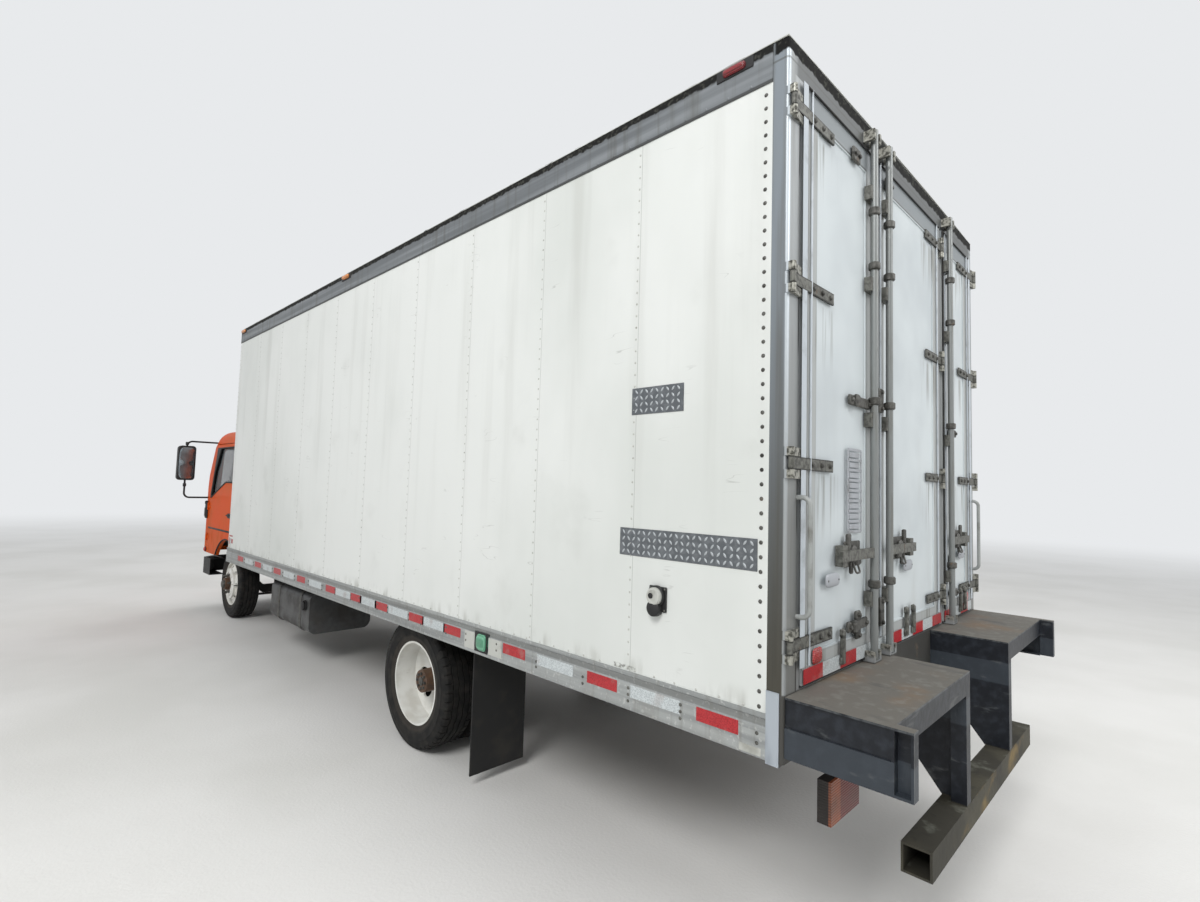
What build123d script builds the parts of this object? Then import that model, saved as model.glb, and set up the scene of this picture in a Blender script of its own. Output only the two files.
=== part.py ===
import os

from build123d import *

os.makedirs("parts", exist_ok=True)

# Box truck: low cab over the front axle, box with three swing doors at the back
# Millimetres. +X is the driver's side, +Y the rear, +Z up, and the tyres stand on Z = 0

# Driving sizes along the truck
front_overhang = 1110
wheel_base = 4740
rear_overhang = 2570
dock_depth = 340
stop_depth = 60
box_length = 6500
cab_gap = 140

# Driving sizes across the truck
box_width = 2438
cab_width = 2060
rail_spread = 850
front_track = 1690
rear_track = 1794
twin_spacing = 258
kingpin_inset = 105

# Driving heights
tyre_radius = 400
frame_top = 760
frame_depth = 200
deck_top = 985
lower_rail_low = 765
lower_rail_top = 917
upper_rail_low = 3145
roof_top = 3306
cab_skirt = 700
cab_top = 2260

# Clearances
door_gap = 8
seat_gap = 0.3
glass_gap = 0.3
hinge_gap = 2
swing_gap = 6

# Places that follow
overall_length = front_overhang + wheel_base + rear_overhang + dock_depth + stop_depth
nose_y = -overall_length / 2
front_axle_y = nose_y + front_overhang
rear_axle_y = front_axle_y + wheel_base
box_rear_y = rear_axle_y + rear_overhang
box_front_y = box_rear_y - box_length
cab_rear_y = box_front_y - cab_gap
half_box = box_width / 2
half_cab = cab_width / 2
half_rails = rail_spread / 2
frame_low = frame_top - frame_depth
left_right = (1, -1)
from_low = (Align.MIN, Align.MIN, Align.MIN)
on_floor = (Align.CENTER, Align.CENTER, Align.MIN)


def wheel_plane(side, across, along):
    """Plane through an axle: local X points outboard, local Y up, origin on the axle line."""
    return Plane(origin=(side * across, along, tyre_radius), x_dir=(side, 0, 0), z_dir=(0, -side, 0))


def block(low, high, mode=Mode.ADD):
    """A box given by its lowest and highest corner."""
    with Locations(low):
        Box(high[0] - low[0], high[1] - low[1], high[2] - low[2], align=from_low, mode=mode)


def outline(plane, points):
    """Face inside a closed outline drawn on a plane."""
    with BuildSketch(plane) as drawing:
        with BuildLine():
            Polyline(*points, close=True)
        make_face()
    return drawing.sketch


def disc(plane, place, radius, bore=0):
    """Round face on a plane, with a hole through it where a bore is given."""
    with BuildSketch(plane) as drawing:
        with Locations(place):
            Circle(radius)
            if bore:
                Circle(bore, mode=Mode.SUBTRACT)
    return drawing.sketch


def side_block(side, near, far, low, high, mode=Mode.ADD):
    """A box between two distances from the middle line, on one side of the truck."""
    inner, outer = sorted((side * near, side * far))
    block((inner, low[0], low[1]), (outer, high[0], high[1]), mode)


# Chassis: frame rails, crossmembers, spring hangers, cab rests and tilt pins
rail_flange = 65
rail_wall = 7
rail_front_y = nose_y + 74
rail_rear_y = box_rear_y - 70
member_width = 70
member_low = 640
member_places = (-760, 1150, 2900, 4000, 5450, 7180)
front_spring_length = 1180
rear_spring_length = 1280
front_spring_x = half_rails - rail_flange / 2
rear_spring_x = half_rails + 50
spring_width = 70
hanger_half = 55
pivot_y = nose_y + 92
pivot_z = 690
pivot_radius = 14
pivot_reach = 75
cab_floor_rear_low = 960
cab_rest_y = cab_rear_y - 160
cab_rest_length = 90
web_holes_y = box_rear_y - 1310
web_hole_radius = 8.5
web_hole_pitch = (200, 100)
springs = (  # axle place, spring length, place across, height of its eyes, camber
    (front_axle_y, front_spring_length, front_spring_x, frame_low - 30, 70),
    (rear_axle_y, rear_spring_length, rear_spring_x, frame_low + 40, 60),
)

with BuildPart() as frame:
    for side in left_right:
        side_block(
            side,
            half_rails - rail_flange,
            half_rails,
            (rail_front_y, frame_low),
            (rail_rear_y, frame_top),
        )
        side_block(
            side,
            half_rails - rail_flange - 1,
            half_rails - rail_wall,
            (rail_front_y, frame_low + rail_wall),
            (rail_rear_y, frame_top - rail_wall),
            Mode.SUBTRACT,
        )
    for behind in member_places:
        with BuildSketch(Plane.YZ.offset(-half_rails + rail_wall)):
            with Locations((front_axle_y + behind, (member_low + frame_top - rail_wall) / 2)):
                Rectangle(member_width, frame_top - rail_wall - member_low)
                Rectangle(
                    member_width - 2 * rail_wall, frame_top - 3 * rail_wall - member_low, mode=Mode.SUBTRACT
                )
        extrude(amount=rail_spread - 2 * rail_wall)
    for axle_y, length, across, eye_z, camber in springs:
        near = min(half_rails, across - spring_width / 2)
        top = max(frame_low, eye_z + 60)
        for side in left_right:
            for end in left_right:
                eye_y = axle_y + end * length / 2
                side_block(
                    side,
                    near,
                    across + spring_width / 2,
                    (eye_y - hanger_half, eye_z),
                    (eye_y + hanger_half, top),
                )
    for side in left_right:
        side_block(
            side,
            half_rails - 60,
            half_rails - 5,
            (cab_rest_y - cab_rest_length / 2, frame_top),
            (cab_rest_y + cab_rest_length / 2, cab_floor_rear_low - seat_gap),
        )
        extrude(
            disc(Plane.YZ.offset(side * half_rails), (pivot_y, pivot_z), pivot_radius),
            amount=side * pivot_reach,
        )
    with BuildSketch(Plane.YZ):
        with Locations((web_holes_y, frame_top - frame_depth / 2)):
            with GridLocations(*web_hole_pitch, 2, 2):
                Circle(web_hole_radius)
    extrude(amount=half_rails + 10, both=True, mode=Mode.SUBTRACT)
frame.part.label = "frame"
export_step(frame.part, "parts/frame.step")

# Front bumper: a curved shell that wraps to the front of the wheel arches, on two arms
bumper_low = 430
bumper_top = 632
bumper_wall = 6
bumper_return = 480
bumper_corner = 150
bumper_crown = 22


def bumper_outline(inset, height, rear_y):
    """The bumper seen from above at a height, moved in by a wall."""
    reach = half_cab - inset
    front_y = nose_y + inset
    with BuildSketch(Plane.XY.offset(height)) as drawing:
        with BuildLine():
            face = ThreePointArc(
                (-reach + bumper_corner, front_y + bumper_crown),
                (0, front_y),
                (reach - bumper_corner, front_y + bumper_crown),
            )
            near_corner = Line(face @ 1, (reach, front_y + bumper_crown + bumper_corner))
            Polyline(
                near_corner @ 1,
                (reach, rear_y),
                (-reach, rear_y),
                (-reach, front_y + bumper_crown + bumper_corner),
                face @ 0,
            )
        make_face()
    return drawing.sketch


with BuildPart() as bumper:
    extrude(bumper_outline(0, bumper_low, nose_y + bumper_return), amount=bumper_top - bumper_low)
    extrude(
        bumper_outline(bumper_wall, bumper_low + bumper_wall, nose_y + bumper_return + 1),
        amount=bumper_top - bumper_low - 2 * bumper_wall,
        mode=Mode.SUBTRACT,
    )
    block(
        (-half_cab + bumper_corner + 10, rail_front_y - swing_gap, bumper_low - 1),
        (half_cab - bumper_corner - 10, nose_y + bumper_return + 1, bumper_top + 1),
        Mode.SUBTRACT,
    )
    for side in left_right:
        side_block(
            side,
            half_rails - rail_flange,
            half_rails,
            (nose_y + bumper_crown, frame_low),
            (rail_front_y - seat_gap, bumper_top - 1),
        )
bumper.part.label = "bumper"
export_step(bumper.part, "parts/bumper.step")

# Engine: one plain block between the rails on four feet, under the seats
engine_front_y = nose_y + 620
engine_length = 890
engine_width = 560
engine_low = 430
engine_top = 930
engine_rear_y = engine_front_y + engine_length

with BuildPart() as engine:
    block((-engine_width / 2, engine_front_y, engine_low), (engine_width / 2, engine_rear_y, engine_top))
    fillet(engine.edges().filter_by(Axis.Y), 40)
    for side in left_right:
        for foot_y in (engine_front_y + 120, engine_rear_y - 120):
            side_block(
                side,
                engine_width / 2 - 10,
                half_rails - rail_wall - seat_gap,
                (foot_y - 45, frame_low + rail_wall + seat_gap),
                (foot_y + 45, frame_low + 80),
            )
engine.part.label = "engine"
export_step(engine.part, "parts/engine.step")

# Driveline: gearbox, two propeller shafts and the bearing that hangs between them
gearbox_length = 620
gearbox_rear_y = engine_rear_y + gearbox_length
shaft_radius = 45
shaft_front_z = 570
bearing_y = front_axle_y + member_places[2]
bearing_radius = 62
diff_radius = 190
shaft_rear_y = rear_axle_y - diff_radius
shaft_rear_z = tyre_radius + 20

with BuildPart() as driveline:
    with BuildSketch(Plane.XZ.offset(-engine_rear_y)):
        with Locations((0, shaft_front_z + 20)):
            RectangleRounded(400, 360, 80)
    with BuildSketch(Plane.XZ.offset(-gearbox_rear_y)):
        with Locations((0, shaft_front_z)):
            RectangleRounded(220, 200, 60)
    loft(ruled=True)
    extrude(
        disc(Plane.XZ.offset(-gearbox_rear_y), (0, shaft_front_z), shaft_radius),
        amount=-(bearing_y - gearbox_rear_y + 40),
    )
    extrude(disc(Plane.XZ.offset(-(bearing_y - 30)), (0, shaft_front_z), bearing_radius), amount=-60)
    block(
        (-45, bearing_y - 30, shaft_front_z + bearing_radius - 20),
        (45, bearing_y + 30, member_low - seat_gap),
    )
    rear_run = Vector(0, shaft_rear_y - bearing_y - 40, shaft_rear_z - shaft_front_z)
    extrude(
        disc(Plane(origin=(0, bearing_y + 40, shaft_front_z), z_dir=rear_run), (0, 0), shaft_radius),
        amount=rear_run.length + 20,
    )
    block(
        (-2 * shaft_radius, shaft_rear_y - seat_gap, shaft_rear_z - 100),
        (2 * shaft_radius, shaft_rear_y + 60, shaft_rear_z + 100),
        Mode.SUBTRACT,
    )
driveline.part.label = "driveline"
export_step(driveline.part, "parts/driveline.step")

# Front axle: dropped beam with a spring seat each side and an eye for each kingpin
beam_low = 265
beam_height = 90
beam_depth = 80
kingpin_x = front_track / 2 - kingpin_inset
kingpin_radius = 20
pin_gap = 0.05
spindle_radius = 38
eye_radius = 42
eye_height = 110
leaf_thickness = 14
leaf_count = 5


def spring_low(eye_z, camber):
    """Height of the underside of a spring where it lies on its axle."""
    return eye_z - seat_gap - camber - leaf_count * leaf_thickness


front_spring_low = spring_low(springs[0][3], springs[0][4])
rear_spring_low = spring_low(springs[1][3], springs[1][4])

with BuildPart() as front_axle:
    beam_face = (
        (-kingpin_x, tyre_radius - 45),
        (-kingpin_x + 55, tyre_radius - 45),
        (-kingpin_x + 140, beam_low),
        (kingpin_x - 140, beam_low),
        (kingpin_x - 55, tyre_radius - 45),
        (kingpin_x, tyre_radius - 45),
        (kingpin_x, tyre_radius + 45),
        (kingpin_x - 60, tyre_radius + 45),
        (kingpin_x - 150, beam_low + beam_height),
        (-kingpin_x + 150, beam_low + beam_height),
        (-kingpin_x + 60, tyre_radius + 45),
        (-kingpin_x, tyre_radius + 45),
    )
    extrude(outline(Plane.XZ.offset(-(front_axle_y - beam_depth / 2)), beam_face), amount=-beam_depth)
    for side in left_right:
        with Locations((side * kingpin_x, front_axle_y, tyre_radius)):
            Cylinder(eye_radius, eye_height)
            Cylinder(kingpin_radius + pin_gap, eye_height + 2, mode=Mode.SUBTRACT)
        side_block(
            side,
            front_spring_x - spring_width / 2,
            front_spring_x + spring_width / 2,
            (front_axle_y - 90, beam_low + beam_height - 8),
            (front_axle_y + 90, front_spring_low - seat_gap),
        )
front_axle.part.label = "front_axle"
export_step(front_axle.part, "parts/front_axle.step")

# Leaf springs: stacks of curved leaves that get shorter towards the axle
with BuildPart() as leaf_springs:
    for axle_y, length, across, eye_z, camber in springs:
        for side in left_right:
            for number in range(leaf_count):
                half = length / 2 * (1 - 0.17 * number)
                middle = eye_z - seat_gap - camber - number * leaf_thickness
                tip = middle + camber * (2 * half / length) ** 2
                with BuildSketch(Plane.YZ.offset(side * across - spring_width / 2)):
                    with BuildLine():
                        upper = ThreePointArc((axle_y - half, tip), (axle_y, middle), (axle_y + half, tip))
                        lower = ThreePointArc(
                            (axle_y - half, tip - leaf_thickness),
                            (axle_y, middle - leaf_thickness),
                            (axle_y + half, tip - leaf_thickness),
                        )
                        Line(upper @ 0, lower @ 0)
                        Line(upper @ 1, lower @ 1)
                    make_face()
                extrude(amount=spring_width)
leaf_springs.part.label = "leaf_springs"
export_step(leaf_springs.part, "parts/leaf_springs.step")

# Rear axle: tube, differential housing and spring seats
axle_tube_radius = 62
rear_hub_inner = 640
rear_spindle_end = 960
axle_line = Axis((0, rear_axle_y, tyre_radius), (1, 0, 0))

with BuildPart() as rear_axle:
    extrude(
        disc(Plane.YZ.offset(-rear_hub_inner), (rear_axle_y, tyre_radius), axle_tube_radius),
        amount=2 * rear_hub_inner,
    )
    extrude(
        disc(Plane.YZ.offset(-rear_spindle_end), (rear_axle_y, tyre_radius), spindle_radius),
        amount=2 * rear_spindle_end,
    )
    housing = (
        (0, tyre_radius),
        (diff_radius, tyre_radius),
        (diff_radius, tyre_radius + 60),
        (diff_radius - 70, tyre_radius + diff_radius - 40),
        (0, tyre_radius + diff_radius - 25),
    )
    revolve(outline(Plane.XZ.offset(-rear_axle_y), housing), axis=axle_line)
    mirror(about=Plane.YZ)
    extrude(disc(Plane.XZ.offset(-shaft_rear_y), (0, shaft_rear_z), 70), amount=-diff_radius)
    for side in left_right:
        side_block(
            side,
            rear_spring_x - spring_width / 2,
            rear_spring_x + spring_width / 2,
            (rear_axle_y - 90, tyre_radius),
            (rear_axle_y + 90, rear_spring_low - seat_gap),
        )
rear_axle.part.label = "rear_axle"
export_step(rear_axle.part, "parts/rear_axle.step")

# Steering knuckles: a fork round the beam's eye on a kingpin, a spindle and a steering arm
fork_gap = 0.5
fork_thickness = 30
fork_reach = 70
front_spindle_end = front_track / 2 + 90
arm_length = 150
arm_half_width = 20
ball_radius = 18
ball_height = 45
fork_half = eye_height / 2 + fork_gap + fork_thickness
arm_z = tyre_radius - fork_half


def knuckle_shape(side):
    """Fork, kingpin, spindle and arm of one front wheel."""
    with Locations((side * kingpin_x, front_axle_y, tyre_radius)):
        Cylinder(kingpin_radius, 2 * fork_half)
    for level in (tyre_radius + fork_half - fork_thickness, arm_z):
        with Locations((side * kingpin_x, front_axle_y, level)):
            Cylinder(eye_radius, fork_thickness, align=on_floor)
        side_block(
            side,
            kingpin_x,
            kingpin_x + fork_reach,
            (front_axle_y - eye_radius, level),
            (front_axle_y + eye_radius, level + fork_thickness),
        )
    side_block(
        side,
        kingpin_x + eye_radius + 5,
        kingpin_x + fork_reach,
        (front_axle_y - eye_radius, arm_z),
        (front_axle_y + eye_radius, arm_z + 2 * fork_half),
    )
    extrude(
        disc(Plane.YZ.offset(side * (kingpin_x + fork_reach - 2)), (front_axle_y, tyre_radius), spindle_radius),
        amount=side * (front_spindle_end - kingpin_x - fork_reach + 2),
    )
    side_block(
        side,
        kingpin_x - arm_half_width,
        kingpin_x + arm_half_width,
        (front_axle_y + arm_half_width, arm_z - 5),
        (front_axle_y + arm_length, arm_z + 20),
    )
    with Locations((side * kingpin_x, front_axle_y + arm_length, arm_z - 5)):
        Cylinder(ball_radius, ball_height)


with BuildPart() as knuckle_left:
    knuckle_shape(1)
knuckle_left.part.label = "knuckle_left"
export_step(knuckle_left.part, "parts/knuckle_left.step")

with BuildPart() as knuckle_right:
    knuckle_shape(-1)
knuckle_right.part.label = "knuckle_right"
export_step(knuckle_right.part, "parts/knuckle_right.step")

# Tie rod: joins the two steering arms behind the front axle
tie_rod_radius = 14
tie_end_radius = 20
tie_end_height = 36
tie_rod_z = arm_z - 5 - ball_height / 2 - tie_end_height / 2

with BuildPart() as tie_rod:
    extrude(
        disc(Plane.YZ.offset(-kingpin_x), (front_axle_y + arm_length, tie_rod_z), tie_rod_radius),
        amount=2 * kingpin_x,
    )
    for side in left_right:
        with Locations((side * kingpin_x, front_axle_y + arm_length, tie_rod_z)):
            Cylinder(tie_end_radius, tie_end_height - 2 * seat_gap)
tie_rod.part.label = "tie_rod"
export_step(tie_rod.part, "parts/tie_rod.step")

# Wheels: tyres with three round grooves, rims with a dished disc, hand holes and a brake drum
tyre_width = 224
rim_radius = 252
bead_half_width = 88
groove_depth = 11
groove_width = 12
groove_places = (-48, 0, 48)
tread_half_width = 88
rim_wall = 9
rim_flange_height = 12
disc_thickness = 12
disc_offset = twin_spacing / 2 - disc_thickness
disc_root = 45
disc_flat_radius = 128
hub_radius = 82
hand_hole_radius = 26
hand_hole_circle = 185
hand_hole_count = 8
drum_radius = 178
drum_wall = 20
rear_outer_x = rear_track / 2 + twin_spacing / 2
rear_inner_x = rear_track / 2 - twin_spacing / 2
front_wheel_x = front_track / 2


def tyre_ring(side, across, axle_y):
    """One tyre: a revolved section with bulged sidewalls and grooves in the tread."""
    plane = wheel_plane(side, across, axle_y)
    with BuildSketch(plane) as section:
        with BuildLine():
            Polyline(
                (-bead_half_width, rim_radius),
                (-bead_half_width, rim_radius + 15),
                (-tyre_width / 2, rim_radius + 62),
                (-tyre_width / 2 + 4, tyre_radius - 45),
                (-tread_half_width, tyre_radius - 6),
                (-tread_half_width + 22, tyre_radius),
                (tread_half_width - 22, tyre_radius),
                (tread_half_width, tyre_radius - 6),
                (tyre_width / 2 - 4, tyre_radius - 45),
                (tyre_width / 2, rim_radius + 62),
                (bead_half_width, rim_radius + 15),
                (bead_half_width, rim_radius),
                (bead_half_width - 14, rim_radius),
                (tyre_width / 2 - 18, rim_radius + 62),
                (tread_half_width - 16, tyre_radius - 28),
                (-tread_half_width + 16, tyre_radius - 28),
                (-tyre_width / 2 + 18, rim_radius + 62),
                (-bead_half_width + 14, rim_radius),
                close=True,
            )
        make_face()
        with Locations(*[(place, tyre_radius) for place in groove_places]):
            Rectangle(groove_width, 2 * groove_depth, mode=Mode.SUBTRACT)
    revolve(section.sketch, axis=Axis(plane.origin, plane.x_dir))


def rim_ring(side, across, axle_y, disc_side):
    """Barrel, flanges and disc of one rim. disc_side is 1 where the disc stands outboard."""
    plane = wheel_plane(side, across, axle_y)
    axis = Axis(plane.origin, plane.x_dir)
    base = rim_radius - seat_gap
    edge = bead_half_width + 6
    bead = bead_half_width + seat_gap
    barrel = (
        (-edge, base + rim_flange_height),
        (-bead, base + rim_flange_height),
        (-bead, base),
        (bead, base),
        (bead, base + rim_flange_height),
        (edge, base + rim_flange_height),
        (edge, base - rim_wall),
        (-edge, base - rim_wall),
    )
    dish = (
        (disc_offset, 0),
        (disc_offset, disc_flat_radius),
        (disc_root, base - rim_wall + 1),
        (disc_root + disc_thickness, base - rim_wall + 1),
        (disc_offset + disc_thickness, disc_flat_radius + 6),
        (disc_offset + disc_thickness, 0),
    )
    revolve(outline(plane, barrel), axis=axis)
    revolve(outline(plane, [(disc_side * along, radius) for along, radius in dish]), axis=axis)
    with BuildSketch(Plane(origin=plane.origin, x_dir=(0, 1, 0), z_dir=plane.x_dir)) as hand_holes:
        with PolarLocations(hand_hole_circle, hand_hole_count):
            Circle(hand_hole_radius)
    extrude(hand_holes.sketch, amount=twin_spacing / 2, both=True, mode=Mode.SUBTRACT)


def hub_and_drum(side, axle_y, hub_start, hub_end, drum_start, drum_end, spindle_end):
    """Hub and brake drum that turn with the rim, bored for the spindle."""
    plane = wheel_plane(side, 0, axle_y)
    axis = Axis(plane.origin, plane.x_dir)
    hub = ((hub_start, 0), (hub_start, hub_radius), (hub_end, hub_radius - 12), (hub_end, 0))
    drum = (
        (drum_start, drum_radius - drum_wall),
        (drum_start, drum_radius),
        (drum_end, drum_radius),
        (drum_end, 0),
        (drum_end - 14, 0),
        (drum_end - 14, drum_radius - drum_wall),
    )
    bore_radius = spindle_radius + pin_gap
    bore = ((0, 0), (0, bore_radius), (spindle_end + 5, bore_radius), (spindle_end + 5, 0))
    revolve(outline(plane, hub), axis=axis)
    revolve(outline(plane, drum), axis=axis)
    revolve(outline(plane, bore), axis=axis, mode=Mode.SUBTRACT)


for side, name in ((1, "left"), (-1, "right")):
    with BuildPart() as tyre_front:
        tyre_ring(side, front_wheel_x, front_axle_y)
    tyre_front.part.label = f"tyre_front_{name}"
    export_step(tyre_front.part, f"parts/tyre_front_{name}.step")

    with BuildPart() as tyres_rear:
        tyre_ring(side, rear_outer_x, rear_axle_y)
        tyre_ring(side, rear_inner_x, rear_axle_y)
    tyres_rear.part.label = f"tyres_rear_{name}"
    export_step(tyres_rear.part, f"parts/tyres_rear_{name}.step")

    with BuildPart() as rim_front:
        rim_ring(side, front_wheel_x, front_axle_y, 1)
        hub_and_drum(
            side,
            front_axle_y,
            front_wheel_x - 20,
            front_wheel_x + disc_offset + 55,
            kingpin_x + fork_reach + 12,
            front_wheel_x + disc_offset,
            front_spindle_end,
        )
    rim_front.part.label = f"rim_front_{name}"
    export_step(rim_front.part, f"parts/rim_front_{name}.step")

    with BuildPart() as rims_rear:
        rim_ring(side, rear_outer_x, rear_axle_y, -1)
        rim_ring(side, rear_inner_x, rear_axle_y, 1)
        hub_and_drum(
            side,
            rear_axle_y,
            rear_hub_inner + swing_gap,
            rear_outer_x + 45,
            rear_hub_inner + 15,
            rear_inner_x + disc_offset,
            rear_spindle_end,
        )
    rims_rear.part.label = f"rims_rear_{name}"
    export_step(rims_rear.part, f"parts/rims_rear_{name}.step")

# Fuel tank on the left rail, battery box and exhaust on the right
tank_front_y = front_axle_y + 1700
tank_length = 1000
tank_width = 560
tank_low = 300
tank_top = 660
tank_gap = 40

with BuildPart() as fuel_tank:
    side_block(
        1,
        half_rails + tank_gap,
        half_rails + tank_gap + tank_width,
        (tank_front_y, tank_low),
        (tank_front_y + tank_length, tank_top),
    )
    fillet(fuel_tank.edges().filter_by(Axis.Y), 70)
    for share in (0.22, 0.78):
        strap_y = tank_front_y + tank_length * share
        side_block(
            1,
            half_rails,
            half_rails + tank_gap + 20,
            (strap_y - 30, frame_low + 10),
            (strap_y + 30, tank_top - 20),
        )
fuel_tank.part.label = "fuel_tank"
export_step(fuel_tank.part, "parts/fuel_tank.step")

battery_front_y = front_axle_y + 1400
battery_length = 620
battery_width = 420
battery_low = 380

with BuildPart() as battery_box:
    side_block(
        -1,
        half_rails + tank_gap,
        half_rails + tank_gap + battery_width,
        (battery_front_y, battery_low),
        (battery_front_y + battery_length, frame_top - 60),
    )
    fillet(battery_box.edges().filter_by(Axis.Z), 20)
    side_block(
        -1,
        half_rails,
        half_rails + tank_gap,
        (battery_front_y + 60, frame_low + 20),
        (battery_front_y + battery_length - 60, frame_top - 80),
    )
battery_box.part.label = "battery_box"
export_step(battery_box.part, "parts/battery_box.step")

muffler_radius = 120
muffler_x = half_rails + 190
muffler_z = 520
muffler_front_y = battery_front_y + battery_length + 150
muffler_length = 800
tail_pipe_radius = 35

with BuildPart() as exhaust:
    extrude(
        disc(Plane.XZ.offset(-muffler_front_y), (-muffler_x, muffler_z), muffler_radius),
        amount=-muffler_length,
    )
    fillet(exhaust.edges().filter_by(GeomType.CIRCLE), 25)
    extrude(
        disc(
            Plane.XZ.offset(-(muffler_front_y + muffler_length - 5)),
            (-muffler_x, muffler_z),
            tail_pipe_radius,
            tail_pipe_radius - 3,
        ),
        amount=-260,
    )
    for share in (0.15, 0.85):
        hanger_y = muffler_front_y + muffler_length * share
        side_block(
            -1,
            half_rails,
            muffler_x - muffler_radius + 12,
            (hanger_y - 20, frame_low + 10),
            (hanger_y + 20, muffler_z + 80),
        )
exhaust.part.label = "exhaust"
export_step(exhaust.part, "parts/exhaust.step")

# Box floor: long sills on the frame, cross sills and the deck on them, brackets for the mud flaps
wall_thickness = 35
rail_skin = 4
side_face = half_box - rail_skin
inner_side = side_face - wall_thickness
deck_thickness = 45
cross_depth = 100
cross_width = 45
cross_web = 8
cross_count = 17
long_sill_width = 60
deck_low = deck_top - deck_thickness
cross_low = deck_low - cross_depth
rear_frame_depth = 62
front_wall_thickness = 40
rail_rear = box_rear_y - rear_frame_depth
floor_front_y = box_front_y + front_wall_thickness
flap_y = rear_axle_y + 670
flap_outer = rear_outer_x + tyre_width / 2 + 2
flap_width = 370
flap_low = 60
flap_thickness = 9
flap_bar_height = 30

with BuildPart() as box_floor:
    block((-inner_side, floor_front_y, deck_low), (inner_side, rail_rear, deck_top))
    for number in range(cross_count):
        place = floor_front_y + 120 + (rail_rear - floor_front_y - 240) * number / (cross_count - 1)
        with BuildSketch(Plane.YZ.offset(-inner_side)):
            with Locations((place, cross_low + cross_depth / 2)):
                Rectangle(cross_width, cross_depth)
            with Locations((place + cross_web, cross_low + cross_depth / 2)):
                Rectangle(cross_width, cross_depth - 2 * cross_web, mode=Mode.SUBTRACT)
        extrude(amount=2 * inner_side)
    for side in left_right:
        side_block(
            side,
            half_rails - long_sill_width,
            half_rails,
            (floor_front_y, frame_top),
            (rail_rear_y, cross_low + 1),
        )
        side_block(
            side,
            half_rails - 20,
            flap_outer,
            (flap_y - 20, cross_low - flap_bar_height),
            (flap_y + 20, cross_low + 1),
        )
        side_block(
            side,
            flap_outer - flap_width,
            flap_outer,
            (flap_y - 8, cross_low - 90),
            (flap_y - seat_gap, cross_low),
        )
box_floor.part.label = "box_floor"
export_step(box_floor.part, "parts/box_floor.step")

with BuildPart() as mud_flaps:
    for side in left_right:
        side_block(
            side,
            flap_outer - flap_width,
            flap_outer,
            (flap_y, flap_low),
            (flap_y + flap_thickness, cross_low - flap_bar_height - seat_gap),
        )
mud_flaps.part.label = "mud_flaps"
export_step(mud_flaps.part, "parts/mud_flaps.step")

# Lower rails: pressed side profile, a beam across the front, a lamp recess by the rear wheels
recess_y = rear_axle_y + 880
recess_length = 82
recess_height = 98
recess_z = 835
recess_depth = 14

with BuildPart() as lower_rails:
    rail_face = (
        (inner_side, lower_rail_low),
        (half_box, lower_rail_low),
        (half_box, lower_rail_low + 104),
        (side_face, lower_rail_low + 108),
        (side_face, lower_rail_top - 20),
        (half_box, lower_rail_top - 16),
        (half_box, lower_rail_top),
        (inner_side, lower_rail_top),
    )
    extrude(outline(Plane.XZ.offset(-box_front_y), rail_face), amount=-(rail_rear - box_front_y))
    block(
        (0, box_front_y, lower_rail_low), (inner_side, floor_front_y - seat_gap, lower_rail_top)
    )
    side_block(
        1,
        half_box - recess_depth,
        half_box + 1,
        (recess_y - recess_length / 2, recess_z - recess_height / 2),
        (recess_y + recess_length / 2, recess_z + recess_height / 2),
        Mode.SUBTRACT,
    )
    mirror(about=Plane.YZ)
lower_rails.part.label = "lower_rails"
export_step(lower_rails.part, "parts/lower_rails.step")

# Side walls, front wall with rounded corners, upper rails, roof sheet with its bows
front_corner_radius = 34
roof_thickness = 4
roof_crown = 14
roof_edge = roof_top - roof_crown
bow_count = 11
bow_width = 40
bow_low = roof_edge - 34
rail_ledge = 10

with BuildPart() as side_walls:
    for side in left_right:
        side_block(
            side,
            inner_side,
            side_face,
            (floor_front_y, lower_rail_top),
            (rail_rear, upper_rail_low),
        )
side_walls.part.label = "side_walls"
export_step(side_walls.part, "parts/side_walls.step")

with BuildPart() as front_wall:
    block((-side_face, box_front_y, lower_rail_top), (side_face, floor_front_y, upper_rail_low))
    fillet(front_wall.edges().filter_by(Axis.Z).group_by(Axis.Y)[0], front_corner_radius)
front_wall.part.label = "front_wall"
export_step(front_wall.part, "parts/front_wall.step")

with BuildPart() as upper_rails:
    block((-half_box, box_front_y, upper_rail_low), (half_box, rail_rear, roof_edge - roof_thickness))
    block(
        (-inner_side + rail_ledge, floor_front_y, upper_rail_low - 1),
        (inner_side - rail_ledge, rail_rear + 1, roof_top),
        Mode.SUBTRACT,
    )
    fillet(upper_rails.edges().filter_by(Axis.Z).group_by(Axis.Y)[0], front_corner_radius)
upper_rails.part.label = "upper_rails"
export_step(upper_rails.part, "parts/upper_rails.step")

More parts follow.
